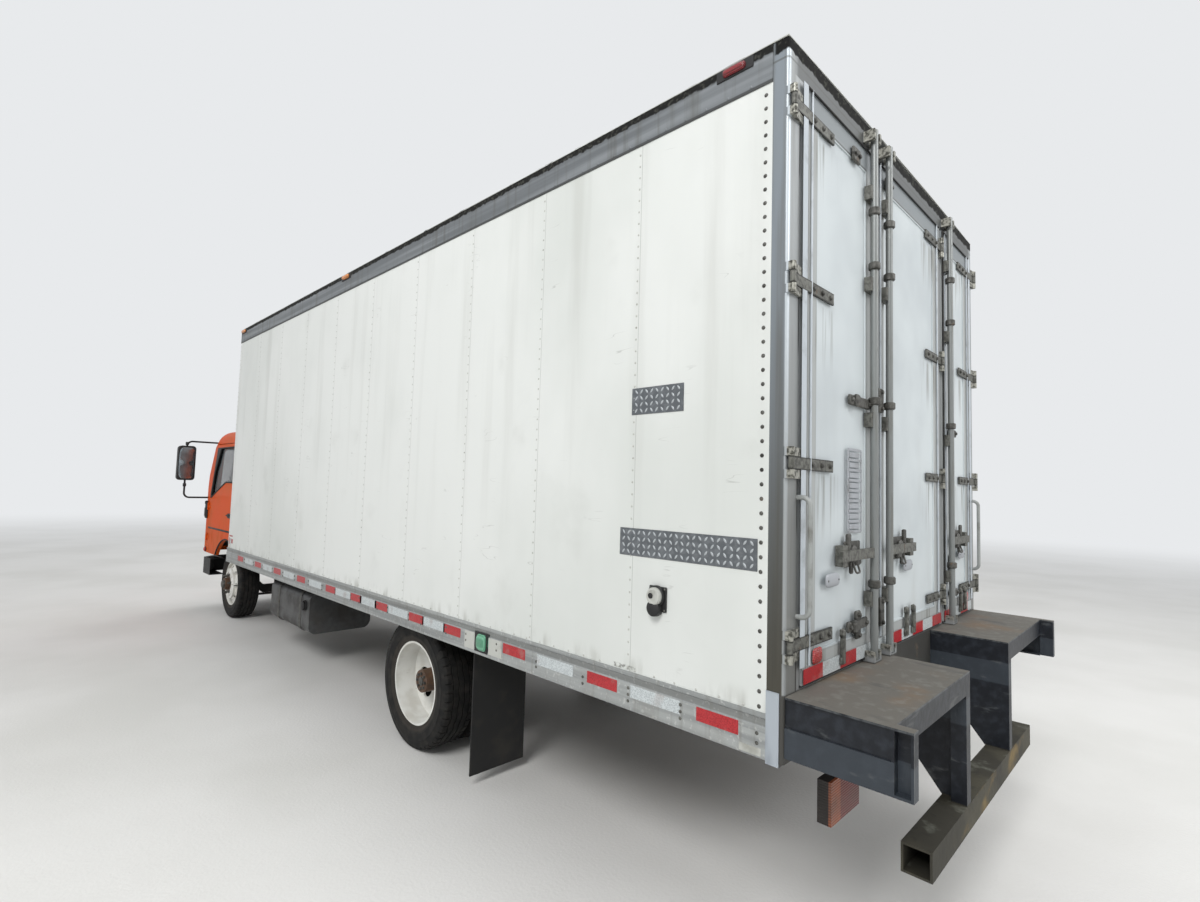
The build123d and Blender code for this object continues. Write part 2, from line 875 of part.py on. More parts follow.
with BuildPart() as roof:
    bow_half = inner_side - rail_ledge - seat_gap
    under = roof_edge - roof_thickness + seat_gap
    with BuildSketch(Plane.XZ.offset(-box_front_y)):
        with BuildLine():
            upper = ThreePointArc((-half_box, roof_edge), (0, roof_top), (half_box, roof_edge))
            lower = ThreePointArc(
                (-half_box, under), (0, roof_top - roof_thickness + seat_gap), (half_box, under)
            )
            Line(upper @ 0, lower @ 0)
            Line(upper @ 1, lower @ 1)
        make_face()
    extrude(amount=-box_length)
    fillet(roof.edges().filter_by(Axis.Z).group_by(Axis.Y)[0], front_corner_radius)
    for number in range(bow_count):
        bow_y = box_front_y + 300 + (rail_rear - box_front_y - 600) * number / (bow_count - 1)
        with BuildSketch(Plane.XZ.offset(-(bow_y - bow_width / 2))):
            with BuildLine():
                arch = ThreePointArc(
                    (-bow_half, roof_edge - 2),
                    (0, roof_top - 2),
                    (bow_half, roof_edge - 2),
                )
                Polyline(arch @ 1, (bow_half, bow_low), (-bow_half, bow_low), arch @ 0)
            make_face()
        extrude(amount=-bow_width)
roof.part.label = "roof"
export_step(roof.part, "parts/roof.step")

# Rear frame: posts, header, sill, narrow fixed post, hinge butts and lock keepers
post_width = 114
post_corner = 12
header_low = 3172
sill_top = 990
door_low = 1000
door_high = header_low - door_gap
sheath_top = 996
left_seam = 425
fixed_post_outer = -505
fixed_post_inner = -550
hinge_levels = (1149, 1768, 2412, 3050)
side_hinge_x = half_box - 14
fixed_hinge_x = (fixed_post_outer + fixed_post_inner) / 2
barrel_radius = 11
hinge_pin_radius = 5
door_proud = 6
leaf_depth = 42
strap_thickness = 8
strap_height = 44
butt_height = 30
barrel_y = box_rear_y + door_proud + barrel_radius
leaf_rear_y = box_rear_y + door_proud
leaf_front_y = leaf_rear_y - leaf_depth
post_inner_x = half_box - post_width
rod_radius = 15
rod_y = leaf_rear_y + 30
rod_reach_y = rod_y + rod_radius
rod_places = {"left": left_seam + 88, "centre": left_seam - 88, "right": fixed_post_inner - 57}
keeper_gap = 7
keeper_width = 16
keeper_height = 46
keeper_plate_top = 993
keeper_half = rod_radius + keeper_gap + keeper_width
rod_low = keeper_plate_top + 4
rod_high = header_low + 68


def butt(pin_x, root_x, level):
    """Two knuckles on a post, above and below the knuckle of the door's strap."""
    side = 1 if pin_x > root_x else -1
    shoulder = barrel_radius * 0.95 * side
    base_y = box_rear_y - post_corner
    body = (
        (root_x, base_y),
        (root_x, box_rear_y + 7),
        (pin_x - shoulder, barrel_y),
        (pin_x + shoulder, barrel_y),
        (pin_x + shoulder, base_y),
    )
    for low in (level + strap_height / 2 + hinge_gap, level - strap_height / 2 - hinge_gap - butt_height):
        extrude(outline(Plane.XY.offset(low), body), amount=butt_height)
        extrude(disc(Plane.XY.offset(low), (pin_x, barrel_y), barrel_radius), amount=butt_height)
    pin_low = level - strap_height / 2 - hinge_gap - butt_height
    extrude(
        disc(Plane.XY.offset(pin_low), (pin_x, barrel_y), hinge_pin_radius),
        amount=2 * (level - pin_low),
    )


with BuildPart() as rear_frame:
    block((-side_face, rail_rear, lower_rail_low), (side_face, box_rear_y, roof_edge - roof_thickness))
    fillet(rear_frame.edges().filter_by(Axis.Z).group_by(Axis.Y)[-1], post_corner)
    block(
        (fixed_post_outer, rail_rear - 1, sill_top),
        (post_inner_x, box_rear_y + 1, header_low),
        Mode.SUBTRACT,
    )
    block(
        (-post_inner_x, rail_rear - 1, sill_top),
        (fixed_post_inner, box_rear_y + 1, header_low),
        Mode.SUBTRACT,
    )
    for side in left_right:
        side_block(
            side,
            side_face - 30,
            half_box,
            (rail_rear, lower_rail_low - 10),
            (box_rear_y - 14, sheath_top),
        )
    for level in hinge_levels:
        butt(side_hinge_x, post_inner_x + 6, level)
        butt(-side_hinge_x, -post_inner_x - 6, level)
        butt(fixed_hinge_x, fixed_post_inner + 3, level)
    for place in rod_places.values():
        block(
            (place - keeper_half, box_rear_y - 1, deck_top + seat_gap),
            (place + keeper_half, rod_reach_y, keeper_plate_top),
        )
        for jaw_x in (place - keeper_half, place + keeper_half - keeper_width):
            block(
                (jaw_x, leaf_rear_y + swing_gap, deck_top + seat_gap),
                (jaw_x + keeper_width, rod_reach_y, deck_top + keeper_height),
            )
            block(
                (jaw_x, box_rear_y - 1, header_low + 14),
                (jaw_x + keeper_width, rod_reach_y, header_low + 14 + keeper_height),
            )
rear_frame.part.label = "rear_frame"
export_step(rear_frame.part, "parts/rear_frame.step")

# Rear doors: a leaf with raised stiles; on it hinge straps, a lock rod in its guides and a handle
stile_width = 105
stile_rise = 5
strap_reach = 230
guide_half = 34
guide_height = 60
guide_levels = (1240, 1980, 2560, 2960)
handle_level = 1430
handle_length = 330
handle_height = 40
handle_thickness = 14
doors = (  # name, hinge place, leaf edge at the hinge, free edge
    ("left", side_hinge_x, post_inner_x - door_gap, left_seam + door_gap / 2),
    ("centre", fixed_hinge_x, fixed_post_outer + door_gap, left_seam - door_gap / 2),
    ("right", -side_hinge_x, -post_inner_x + door_gap, fixed_post_inner - door_gap),
)

for name, pin_x, hinged_edge, free_edge in doors:
    low_x, high_x = sorted((hinged_edge, free_edge))
    away = 1 if free_edge > hinged_edge else -1
    rod_x = rod_places[name]
    with BuildPart() as rear_door:
        block((low_x, leaf_front_y, door_low), (high_x, leaf_rear_y, door_high))
        block(
            (low_x + stile_width, leaf_rear_y - stile_rise, door_low + stile_width),
            (high_x - stile_width, leaf_rear_y + 1, door_high - stile_width),
            Mode.SUBTRACT,
        )
    rear_door.part.label = f"rear_door_{name}"
    export_step(rear_door.part, f"parts/rear_door_{name}.step")

    with BuildPart() as door_hardware:
        for level in hinge_levels:
            low = level - strap_height / 2
            near, far = sorted((pin_x, hinged_edge + away * strap_reach))
            block((near, leaf_rear_y, low), (far, leaf_rear_y + strap_thickness, low + strap_height))
            extrude(disc(Plane.XY.offset(low), (pin_x, barrel_y), barrel_radius), amount=strap_height)
            bore = disc(Plane.XY.offset(low), (pin_x, barrel_y), hinge_pin_radius + pin_gap)
            extrude(bore, amount=strap_height, mode=Mode.SUBTRACT)
        extrude(disc(Plane.XY.offset(rod_low), (rod_x, rod_y), rod_radius), amount=rod_high - rod_low)
        for level in guide_levels:
            block(
                (rod_x - guide_half, leaf_rear_y, level - guide_height / 2),
                (rod_x + guide_half, rod_y, level + guide_height / 2),
            )
        near, far = sorted((rod_x, rod_x - away * handle_length))
        block(
            (near, rod_y - handle_thickness / 2, handle_level - handle_height / 2),
            (far, rod_y + handle_thickness / 2, handle_level + handle_height / 2),
        )
        rest_x = rod_x - away * (handle_length - 40)
        block(
            (rest_x - 22, leaf_rear_y, handle_level - handle_height),
            (rest_x + 22, rod_y, handle_level + handle_height),
        )
    door_hardware.part.label = f"door_hardware_{name}"
    export_step(door_hardware.part, f"parts/door_hardware_{name}.step")

# Grab bars: bent tubes on the rear posts
grab_x = post_inner_x + 22
grab_radius = 9
grab_stand = 48
grab_low = 1240
grab_high = 1650
grab_bend = 30

with BuildPart() as grab_bars:
    with BuildLine():
        FilletPolyline(
            (grab_x, box_rear_y, grab_low),
            (grab_x, box_rear_y + grab_stand, grab_low),
            (grab_x, box_rear_y + grab_stand, grab_high),
            (grab_x, box_rear_y, grab_high),
            radius=grab_bend,
        )
    with BuildSketch(Plane(origin=(grab_x, box_rear_y, grab_low), z_dir=(0, 1, 0))):
        Circle(grab_radius)
    sweep()
    mirror(about=Plane.YZ)
grab_bars.part.label = "grab_bars"
export_step(grab_bars.part, "parts/grab_bars.step")

# Lamps: tail lamp blocks hung under the sill, round lamps in the recesses of the lower rails
tail_lamp_x = 695
tail_lamp_width = 262
tail_lamp_height = 160
tail_lamp_depth = 55
tail_lamp_low = 425
tail_lamp_y = box_rear_y - 60
tail_bracket_half = 60
recess_lamp_radius = 32

with BuildPart() as box_lamps:
    for side in left_right:
        side_block(
            side,
            tail_lamp_x - tail_lamp_width / 2,
            tail_lamp_x + tail_lamp_width / 2,
            (tail_lamp_y, tail_lamp_low),
            (tail_lamp_y + tail_lamp_depth, tail_lamp_low + tail_lamp_height),
        )
        side_block(
            side,
            tail_lamp_x - tail_bracket_half,
            tail_lamp_x + tail_bracket_half,
            (tail_lamp_y, tail_lamp_low + tail_lamp_height - 1),
            (tail_lamp_y + 8, lower_rail_low),
        )
        extrude(
            disc(Plane.YZ.offset(side * (half_box - recess_depth)), (recess_y, recess_z), recess_lamp_radius),
            amount=side * (recess_depth - 3),
        )
box_lamps.part.label = "box_lamps"
export_step(box_lamps.part, "parts/box_lamps.step")

# Dock bumper: two raised platforms on inner plates and posts, and a hollow bar below
platform_inner = 345
platform_outer = 1206
dock_plate = 8
dock_channel = 198
dock_flange = 85
dock_post = 55
dock_start = box_rear_y + seat_gap
dock_end = box_rear_y + dock_depth
dock_bar_size = 100
dock_bar_low = 382
dock_bar_half = 830
dock_bar_top = dock_bar_low + dock_bar_size
stop_width = 40
dock_channel_low = deck_top - dock_channel
dock_step = 6

with BuildPart() as dock_bumper:
    for side in left_right:
        plates = (  # near, far, low and high corner of each plate
            (platform_inner, platform_outer, (dock_start, deck_top - dock_plate), (dock_end, deck_top)),
            (
                platform_outer - dock_step - dock_plate,
                platform_outer - dock_step,
                (dock_start, dock_channel_low),
                (dock_end, deck_top - 1),
            ),
            (
                platform_outer - dock_plate,
                platform_outer,
                (dock_start, dock_channel_low),
                (dock_end, dock_channel_low + dock_channel / 2),
            ),
            (
                platform_outer - 60,
                platform_outer,
                (dock_start, dock_channel_low),
                (dock_end, dock_channel_low + dock_plate),
            ),
            (
                platform_inner,
                platform_outer,
                (dock_end - dock_plate, deck_top - dock_flange),
                (dock_end, deck_top - 1),
            ),
            (
                platform_inner,
                platform_inner + dock_post,
                (dock_end - dock_post, dock_bar_top - 1),
                (dock_end, deck_top - 1),
            ),
        )
        for near, far, low, high in plates:
            side_block(side, near, far, low, high)
        gusset = (
            (dock_start, deck_top - 1),
            (dock_end, deck_top - 1),
            (dock_end, dock_bar_top - 1),
            (dock_end - dock_bar_size, dock_bar_top - 1),
            (dock_start, dock_channel_low),
        )
        extrude(outline(Plane.YZ.offset(side * platform_inner), gusset), amount=side * dock_plate)
        with BuildSketch(Plane.YZ.offset(side * (platform_outer - stop_width))):
            with Locations((dock_end + stop_depth / 2 - 1, dock_channel_low + dock_channel / 2)):
                Rectangle(stop_depth + 2, dock_channel)
                Rectangle(
                    stop_depth + 2 - 2 * dock_plate,
                    dock_channel - 2 * dock_plate,
                    mode=Mode.SUBTRACT,
                )
        extrude(amount=side * stop_width)
    with BuildSketch(Plane.YZ.offset(-dock_bar_half)):
        with Locations((dock_end - dock_bar_size / 2, dock_bar_low + dock_bar_size / 2)):
            Rectangle(dock_bar_size, dock_bar_size)
            Rectangle(dock_bar_size - 2 * dock_plate, dock_bar_size - 2 * dock_plate, mode=Mode.SUBTRACT)
    extrude(amount=2 * dock_bar_half)
dock_bumper.part.label = "dock_bumper"
export_step(dock_bumper.part, "parts/dock_bumper.step")

# Cab: an outer form cut from three outlines, hollowed by the wall, then split into its panels
cab_wall = 42
cab_front_y = nose_y + 22
windscreen_low = 1340
windscreen_high = 2060
windscreen_rake = 150
cab_roof_drop = 60
cab_corner = 150
cab_rear_corner = 60
cab_roof_corner = 130
cab_tuck = 70
belt_z = 1450
glass_depth = 10
glass_thickness = 6


def cab_form(inset):
    """The cab as a solid, with every outline moved in by the inset."""
    with BuildPart() as form:
        with BuildSketch(Plane.YZ) as side_outline:
            with BuildLine():
                Polyline(
                    (cab_front_y, cab_skirt - 300),
                    (cab_front_y, windscreen_low),
                    (cab_front_y + windscreen_rake, windscreen_high),
                    (cab_front_y + windscreen_rake + 260, cab_top),
                    (cab_rear_y - 60, cab_top - cab_roof_drop),
                    (cab_rear_y, windscreen_high - 200),
                    (cab_rear_y, cab_skirt - 300),
                    close=True,
                )
            make_face()
            fillet(side_outline.vertices().filter_by(lambda corner: corner.Y > windscreen_high + 1), 110)
            offset(amount=-inset, kind=Kind.INTERSECTION)
        extrude(amount=half_cab + 10, both=True)
        with BuildSketch(Plane.XZ) as front_outline:
            with BuildLine():
                Polyline(
                    (-half_cab, cab_skirt - 300),
                    (-half_cab, belt_z),
                    (-half_cab + cab_tuck, cab_top),
                    (half_cab - cab_tuck, cab_top),
                    (half_cab, belt_z),
                    (half_cab, cab_skirt - 300),
                    close=True,
                )
            make_face()
            fillet(
                front_outline.vertices().filter_by(lambda corner: corner.Y > cab_top - 1),
                cab_roof_corner,
            )
            offset(amount=-inset, kind=Kind.INTERSECTION)
        extrude(amount=overall_length / 2 + 10, both=True, mode=Mode.INTERSECT)
        with BuildSketch(Plane.XY) as plan_outline:
            with Locations((0, (cab_front_y + cab_rear_y) / 2)):
                Rectangle(cab_width, cab_rear_y - cab_front_y)
            fillet(plan_outline.vertices().group_by(Axis.Y)[0], cab_corner)
            fillet(plan_outline.vertices().group_by(Axis.Y)[-1], cab_rear_corner)
            offset(amount=-inset, kind=Kind.INTERSECTION)
        extrude(amount=cab_top + 10, mode=Mode.INTERSECT)
    return form.part


cab_outer = cab_form(0.01)
cab_inner = cab_form(cab_wall)
cab_room = cab_form(cab_wall + seat_gap)
glass_outer = cab_form(glass_depth)
glass_inner = cab_form(glass_depth + glass_thickness)

door_front_y = nose_y + 260
door_length = 1080
door_rear_y = door_front_y + door_length
door_top_z = 2090
arch_radius = 520
roof_low = door_top_z + door_gap
pillar_top = roof_low - seat_gap
window_high = 2040
window_front_sill = 1410
window_rear_sill = 1610
window_margin = 60
windscreen_half = 880
back_window_half = 620
grille_half = 620
lamp_inner = 655
lamp_outer = 905
lamp_low = 780
lamp_high = 960
cab_hinge_levels = (900, 1290)
cab_hinge_radius = 9
cab_hinge_stand = 10
cab_leaf_thickness = 5
cab_hinge_height = 44
cab_hinge_leaf = 60
cab_hinge_y = door_front_y - door_gap / 2
front_cuts = (  # half width, low, high, corner radius of each opening in the front
    (windscreen_half, windscreen_low + 20, windscreen_high - 10, 70),
    (grille_half, 800, 1010, 30),
)
back_window = (back_window_half, 1560, 1960, 60)


def wall_within(outer, inner, low, high):
    """The part between two cab forms that lies inside a box."""
    add(outer)
    add(inner, mode=Mode.SUBTRACT)
    block(low, high, Mode.INTERSECT)


def cab_knuckle(side, low, height, reach):
    """Knuckle on a cab door's hinge line with its leaf, which runs forward where reach is below zero."""
    place = (side * (half_cab + cab_hinge_stand), cab_hinge_y)
    extrude(disc(Plane.XY.offset(low), place, cab_hinge_radius), amount=height)
    near_y, far_y = sorted((cab_hinge_y, cab_hinge_y + reach))
    side_block(side, half_cab - 2, half_cab + cab_leaf_thickness, (near_y, low), (far_y, low + height))


def door_window(plane, margin):
    """Face of a door window, with a sill that falls towards the front."""
    front = door_front_y + window_margin + 25 + margin
    rear = door_rear_y - window_margin - margin
    return outline(
        plane,
        (
            (front, window_front_sill + margin),
            (front + 560, window_rear_sill + margin),
            (rear, window_rear_sill + margin),
            (rear, window_high - margin),
            (front + 120, window_high - margin),
            (front, window_high - margin - 330),
        ),
    )


def cross_opening(place_y, opening, margin):
    """Rounded face across the cab for an opening, made smaller by a margin."""
    half, low, high, corner = opening
    with BuildSketch(Plane.XZ.offset(-place_y)) as drawing:
        with Locations((0, (low + high) / 2)):
            RectangleRounded(2 * (half - margin), high - low - 2 * margin, corner)
    return drawing.sketch


with BuildPart() as cab_roof:
    wall_within(
        cab_outer,
        cab_inner,
        (-half_cab, cab_front_y - 1, roof_low),
        (half_cab, cab_rear_y + 1, cab_top + 1),
    )
cab_roof.part.label = "cab_roof"
export_step(cab_roof.part, "parts/cab_roof.step")

with BuildPart() as cab_front:
    wall_within(
        cab_outer,
        cab_inner,
        (-half_cab, cab_front_y - 1, cab_skirt),
        (half_cab, door_front_y - door_gap, pillar_top),
    )
    for opening in front_cuts:
        extrude(cross_opening(cab_front_y - 50, opening, 0), amount=-400, mode=Mode.SUBTRACT)
    for side in left_right:
        side_block(
            side,
            lamp_inner,
            lamp_outer,
            (cab_front_y - 50, lamp_low),
            (cab_front_y + 200, lamp_high),
            Mode.SUBTRACT,
        )
        for level in cab_hinge_levels:
            ear = cab_hinge_height / 2
            base = level - cab_hinge_height / 2 - hinge_gap - ear
            cab_knuckle(side, base, ear, -cab_hinge_leaf)
            cab_knuckle(side, level + cab_hinge_height / 2 + hinge_gap, ear, -cab_hinge_leaf)
            pin_place = (side * (half_cab + cab_hinge_stand), cab_hinge_y)
            extrude(disc(Plane.XY.offset(base), pin_place, hinge_pin_radius), amount=2 * (level - base))
cab_front.part.label = "cab_front"
export_step(cab_front.part, "parts/cab_front.step")

with BuildPart() as cab_back:
    wall_within(
        cab_outer,
        cab_inner,
        (-half_cab, door_rear_y + door_gap, cab_skirt),
        (half_cab, cab_rear_y + 1, pillar_top),
    )
    extrude(cross_opening(cab_rear_y - 100, back_window, 0), amount=-200, mode=Mode.SUBTRACT)
    block(
        (-half_cab + 110, cab_rear_y - 200, cab_skirt - 1),
        (half_cab - 110, cab_rear_y + 1, cab_floor_rear_low - 20),
        Mode.SUBTRACT,
    )
    extrude(
        disc(Plane.YZ, (front_axle_y, tyre_radius), arch_radius),
        amount=half_cab + 10,
        both=True,
        mode=Mode.SUBTRACT,
    )
cab_back.part.label = "cab_back"
export_step(cab_back.part, "parts/cab_back.step")

# Cab floor: raised over the engine and the wheels, clear of the doors, with the tilt lugs
foot_floor_low = 800
floor_thickness = 40
riser_y = nose_y + 560
floor_half = half_cab - cab_wall - 12
lug_thickness = 22
lug_near = half_rails + pivot_reach - 50
lug_radius = 28

with BuildPart() as cab_floor:
    tread = (
        (cab_front_y, foot_floor_low),
        (riser_y, foot_floor_low),
        (riser_y, cab_floor_rear_low),
        (cab_rear_y, cab_floor_rear_low),
        (cab_rear_y, cab_floor_rear_low + floor_thickness),
        (riser_y - floor_thickness, cab_floor_rear_low + floor_thickness),
        (riser_y - floor_thickness, foot_floor_low + floor_thickness),
        (cab_front_y, foot_floor_low + floor_thickness),
    )
    extrude(outline(Plane.YZ, tread), amount=half_cab, both=True)
    add(cab_room, mode=Mode.INTERSECT)
    for side in left_right:
        side_block(
            side,
            floor_half,
            half_cab,
            (door_front_y - door_gap - 10, cab_skirt),
            (door_rear_y + door_gap + 10, windscreen_low),
            Mode.SUBTRACT,
        )
        arm = (
            (pivot_y - lug_radius, pivot_z),
            (pivot_y + lug_radius, pivot_z),
            (pivot_y + 160, foot_floor_low + 1),
            (pivot_y, foot_floor_low + 1),
        )
        lug_plane = Plane.YZ.offset(side * lug_near)
        extrude(outline(lug_plane, arm), amount=side * lug_thickness)
        extrude(disc(lug_plane, (pivot_y, pivot_z), lug_radius), amount=side * lug_thickness)
        extrude(
            disc(lug_plane, (pivot_y, pivot_z), pivot_radius + pin_gap),
            amount=side * lug_thickness,
            mode=Mode.SUBTRACT,
        )
cab_floor.part.label = "cab_floor"
export_step(cab_floor.part, "parts/cab_floor.step")

# Cab doors with their glass
for side, name in ((1, "left"), (-1, "right")):
    near, far = sorted((side * (half_cab - 320), side * (half_cab + 1)))
    door_near = (near, door_front_y, cab_skirt)
    door_far = (far, door_rear_y, door_top_z)
    with BuildPart() as cab_door:
        wall_within(cab_outer, cab_inner, door_near, door_far)
        arch = disc(Plane.YZ, (front_axle_y, tyre_radius), arch_radius)
        extrude(arch, amount=side * (half_cab + 10), mode=Mode.SUBTRACT)
        extrude(door_window(Plane.YZ, 0), amount=side * (half_cab + 10), mode=Mode.SUBTRACT)
        for level in cab_hinge_levels:
            low = level - cab_hinge_height / 2
            cab_knuckle(side, low, cab_hinge_height, cab_hinge_leaf)
            bore = disc(
                Plane.XY.offset(low),
                (side * (half_cab + cab_hinge_stand), cab_hinge_y),
                hinge_pin_radius + pin_gap,
            )
            extrude(bore, amount=cab_hinge_height, mode=Mode.SUBTRACT)
    cab_door.part.label = f"cab_door_{name}"
    export_step(cab_door.part, f"parts/cab_door_{name}.step")

    with BuildPart() as door_glass:
        wall_within(glass_outer, glass_inner, door_near, door_far)
        extrude(door_window(Plane.YZ, glass_gap), amount=side * (half_cab + 10), mode=Mode.INTERSECT)
    door_glass.part.label = f"door_glass_{name}"
    export_step(door_glass.part, f"parts/door_glass_{name}.step")

# Windscreen and back window, shaped by the same forms
with BuildPart() as cab_glass:
    extrude(cross_opening(cab_front_y - 50, front_cuts[0], glass_gap), amount=-400)
    extrude(cross_opening(cab_rear_y - 100, back_window, glass_gap), amount=-200)
    add(glass_outer, mode=Mode.INTERSECT)
    add(glass_inner, mode=Mode.SUBTRACT)
cab_glass.part.label = "cab_glass"
export_step(cab_glass.part, "parts/cab_glass.step")

# Grille of level slats in its opening, headlamps beside it
slat_count = 4
slat_height = 22
grille_rim = 22

with BuildPart() as grille:
    extrude(cross_opening(cab_front_y - 50, front_cuts[1], glass_gap), amount=-300)
    slat_room = front_cuts[1][2] - front_cuts[1][1] - 2 * grille_rim
    gap_height = (slat_room - slat_count * slat_height) / (slat_count + 1)
    for number in range(slat_count + 1):
        low = front_cuts[1][1] + grille_rim + number * (gap_height + slat_height)
        block(
            (-grille_half + grille_rim, cab_front_y - 60, low),
            (grille_half - grille_rim, cab_front_y + 300, low + gap_height),
            Mode.SUBTRACT,
        )
    add(cab_form(4), mode=Mode.INTERSECT)
    add(cab_form(30), mode=Mode.SUBTRACT)
grille.part.label = "grille"
export_step(grille.part, "parts/grille.step")

with BuildPart() as headlamps:
    for side in left_right:
        side_block(
            side,
            lamp_inner + glass_gap,
            lamp_outer - glass_gap,
            (cab_front_y - 10, lamp_low + glass_gap),
            (cab_front_y + 190, lamp_high - glass_gap),
        )
    add(cab_outer, mode=Mode.INTERSECT)
    add(cab_inner, mode=Mode.SUBTRACT)
headlamps.part.label = "headlamps"
export_step(headlamps.part, "parts/headlamps.step")

# Dashboard with the steering column and wheel
dash_rear_y = nose_y + 640
dash_low = 1060
steering_x = 480
steering_radius = 205
steering_rim = 15
column_length = 330

with BuildPart() as dashboard:
    dash_face = (
        (cab_front_y, dash_low),
        (dash_rear_y - 80, dash_low),
        (dash_rear_y, dash_low + 110),
        (dash_rear_y - 30, windscreen_low - 60),
        (cab_front_y, windscreen_low - 20),
    )
    extrude(outline(Plane.YZ, dash_face), amount=floor_half - 30, both=True)
    add(cab_room, mode=Mode.INTERSECT)
    column = Vector(0, 0.55, 0.83).normalized()
    wheel_middle = Vector(steering_x, dash_rear_y + 110, windscreen_low + 60)
    foot = wheel_middle - column * column_length
    extrude(disc(Plane(origin=foot, z_dir=column), (0, 0), 28), amount=column_length)
    rim_section = disc(
        Plane(origin=wheel_middle, x_dir=(1, 0, 0), z_dir=Vector(1, 0, 0).cross(column)),
        (steering_radius, 0),
        steering_rim,
    )
    revolve(rim_section, axis=Axis(wheel_middle, column))
    with BuildSketch(Plane(origin=wheel_middle - column * 8, x_dir=(1, 0, 0), z_dir=column)):
        Rectangle(2 * steering_radius - 4, 36)
    extrude(amount=16)
dashboard.part.label = "dashboard"
export_step(dashboard.part, "parts/dashboard.step")

# Seats: the driver's and a double one beside it, on the raised floor
seat_front_y = riser_y + 120
seat_length = 480
cushion_height = 150
back_height = 620
back_thickness = 120
seat_low = cab_floor_rear_low + floor_thickness + seat_gap
seat_spans = ((210, 740), (-800, 150))

with BuildPart() as seats:
    for low_x, high_x in seat_spans:
        block(
            (low_x, seat_front_y, seat_low),
            (high_x, seat_front_y + seat_length, seat_low + cushion_height),
        )
        seat_back_y = seat_front_y + seat_length - 60
        rest = (
            (seat_back_y, seat_low),
            (seat_back_y + back_thickness, seat_low),
            (seat_back_y + back_thickness + 110, seat_low + cushion_height + back_height),
            (seat_back_y + 110, seat_low + cushion_height + back_height),
        )
        extrude(outline(Plane.YZ.offset(low_x), rest), amount=high_x - low_x)
seats.part.label = "seats"
export_step(seats.part, "parts/seats.step")

# Mirrors on bent arms at the cab's front corners
mirror_width = 190
mirror_height = 440
mirror_depth = 85
mirror_corner = 40
mirror_x = half_cab + 270
mirror_y = nose_y + 170
mirror_low = 1620
arm_radius = 11
arm_low = 1400
arm_high = 2120
arm_bend = 60

with BuildPart() as mirrors:
    with BuildLine():
        FilletPolyline(
            (half_cab - 30, mirror_y, arm_low),
            (mirror_x, mirror_y, arm_low),
            (mirror_x, mirror_y, arm_high),
            (half_cab - 90, mirror_y, arm_high),
            radius=arm_bend,
        )
    with BuildSketch(Plane(origin=(half_cab - 30, mirror_y, arm_low), z_dir=(1, 0, 0))):
        Circle(arm_radius)
    sweep()
    with BuildSketch(Plane.XZ.offset(-(mirror_y - mirror_depth / 2))):
        with Locations((mirror_x, mirror_low + mirror_height / 2)):
            RectangleRounded(mirror_width, mirror_height, mirror_corner)
    extrude(amount=-mirror_depth)
    mirror(about=Plane.YZ)
    add(cab_form(-seat_gap), mode=Mode.SUBTRACT)
mirrors.part.label = "mirrors"
export_step(mirrors.part, "parts/mirrors.step")
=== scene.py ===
import math
import bpy
import bmesh
import numpy as np
from mathutils import Matrix, Vector


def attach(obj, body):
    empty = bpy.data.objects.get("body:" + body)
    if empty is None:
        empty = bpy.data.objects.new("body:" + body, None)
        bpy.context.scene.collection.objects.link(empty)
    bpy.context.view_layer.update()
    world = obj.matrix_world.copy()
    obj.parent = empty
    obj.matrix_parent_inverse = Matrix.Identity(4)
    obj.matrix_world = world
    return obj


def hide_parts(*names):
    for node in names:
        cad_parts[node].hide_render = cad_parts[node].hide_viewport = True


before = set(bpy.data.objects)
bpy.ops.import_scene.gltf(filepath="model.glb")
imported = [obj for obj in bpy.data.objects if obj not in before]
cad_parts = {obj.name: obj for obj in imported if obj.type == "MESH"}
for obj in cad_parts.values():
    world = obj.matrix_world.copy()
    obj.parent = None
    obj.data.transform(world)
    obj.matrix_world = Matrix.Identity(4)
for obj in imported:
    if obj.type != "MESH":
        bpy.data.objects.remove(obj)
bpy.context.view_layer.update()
print("frame loaded:", len(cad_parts), "nodes")

# the truck's own measures, in metres, and the camera that matches the photograph
truck = {"frontAxle": -3.3, "rearAxle": 1.44, "hub": 0.4, "wall": 1.215, "rail": 1.219,
         "leaf": 4.0212}
view = {"place": (3.1225, 5.0015, 1.6594), "yaw": 45.464, "pitch": 3.579, "roll": 1.646,
        "lens": 18.17}


def setCamera():
    yaw, pitch, roll = (math.radians(view[k]) for k in ("yaw", "pitch", "roll"))
    ahead = Vector((-math.sin(yaw) * math.cos(pitch), -math.cos(yaw) * math.cos(pitch),
                    math.sin(pitch)))
    right = ahead.cross(Vector((0, 0, 1))).normalized()
    above = right.cross(ahead)
    across = math.cos(roll) * right + math.sin(roll) * above
    upward = math.cos(roll) * above - math.sin(roll) * right
    lens = bpy.data.cameras.new("camera")
    lens.lens = view["lens"]
    lens.sensor_width = 36
    lens.clip_end = 200
    camera = bpy.data.objects.new("camera", lens)
    turn = Matrix((across, upward, -ahead)).transposed().to_4x4()
    camera.matrix_world = Matrix.Translation(view["place"]) @ turn
    bpy.context.scene.collection.objects.link(camera)
    bpy.context.scene.camera = camera


setCamera()
bpy.context.scene.view_settings.view_transform = "Standard"


def tone(colour):  # 0-255 screen colour to the linear colour that a shader takes
    return tuple(c / 255 / 12.92 if c <= 10 else ((c / 255 + 0.055) / 1.055) ** 2.4
                 for c in colour) + (1,)


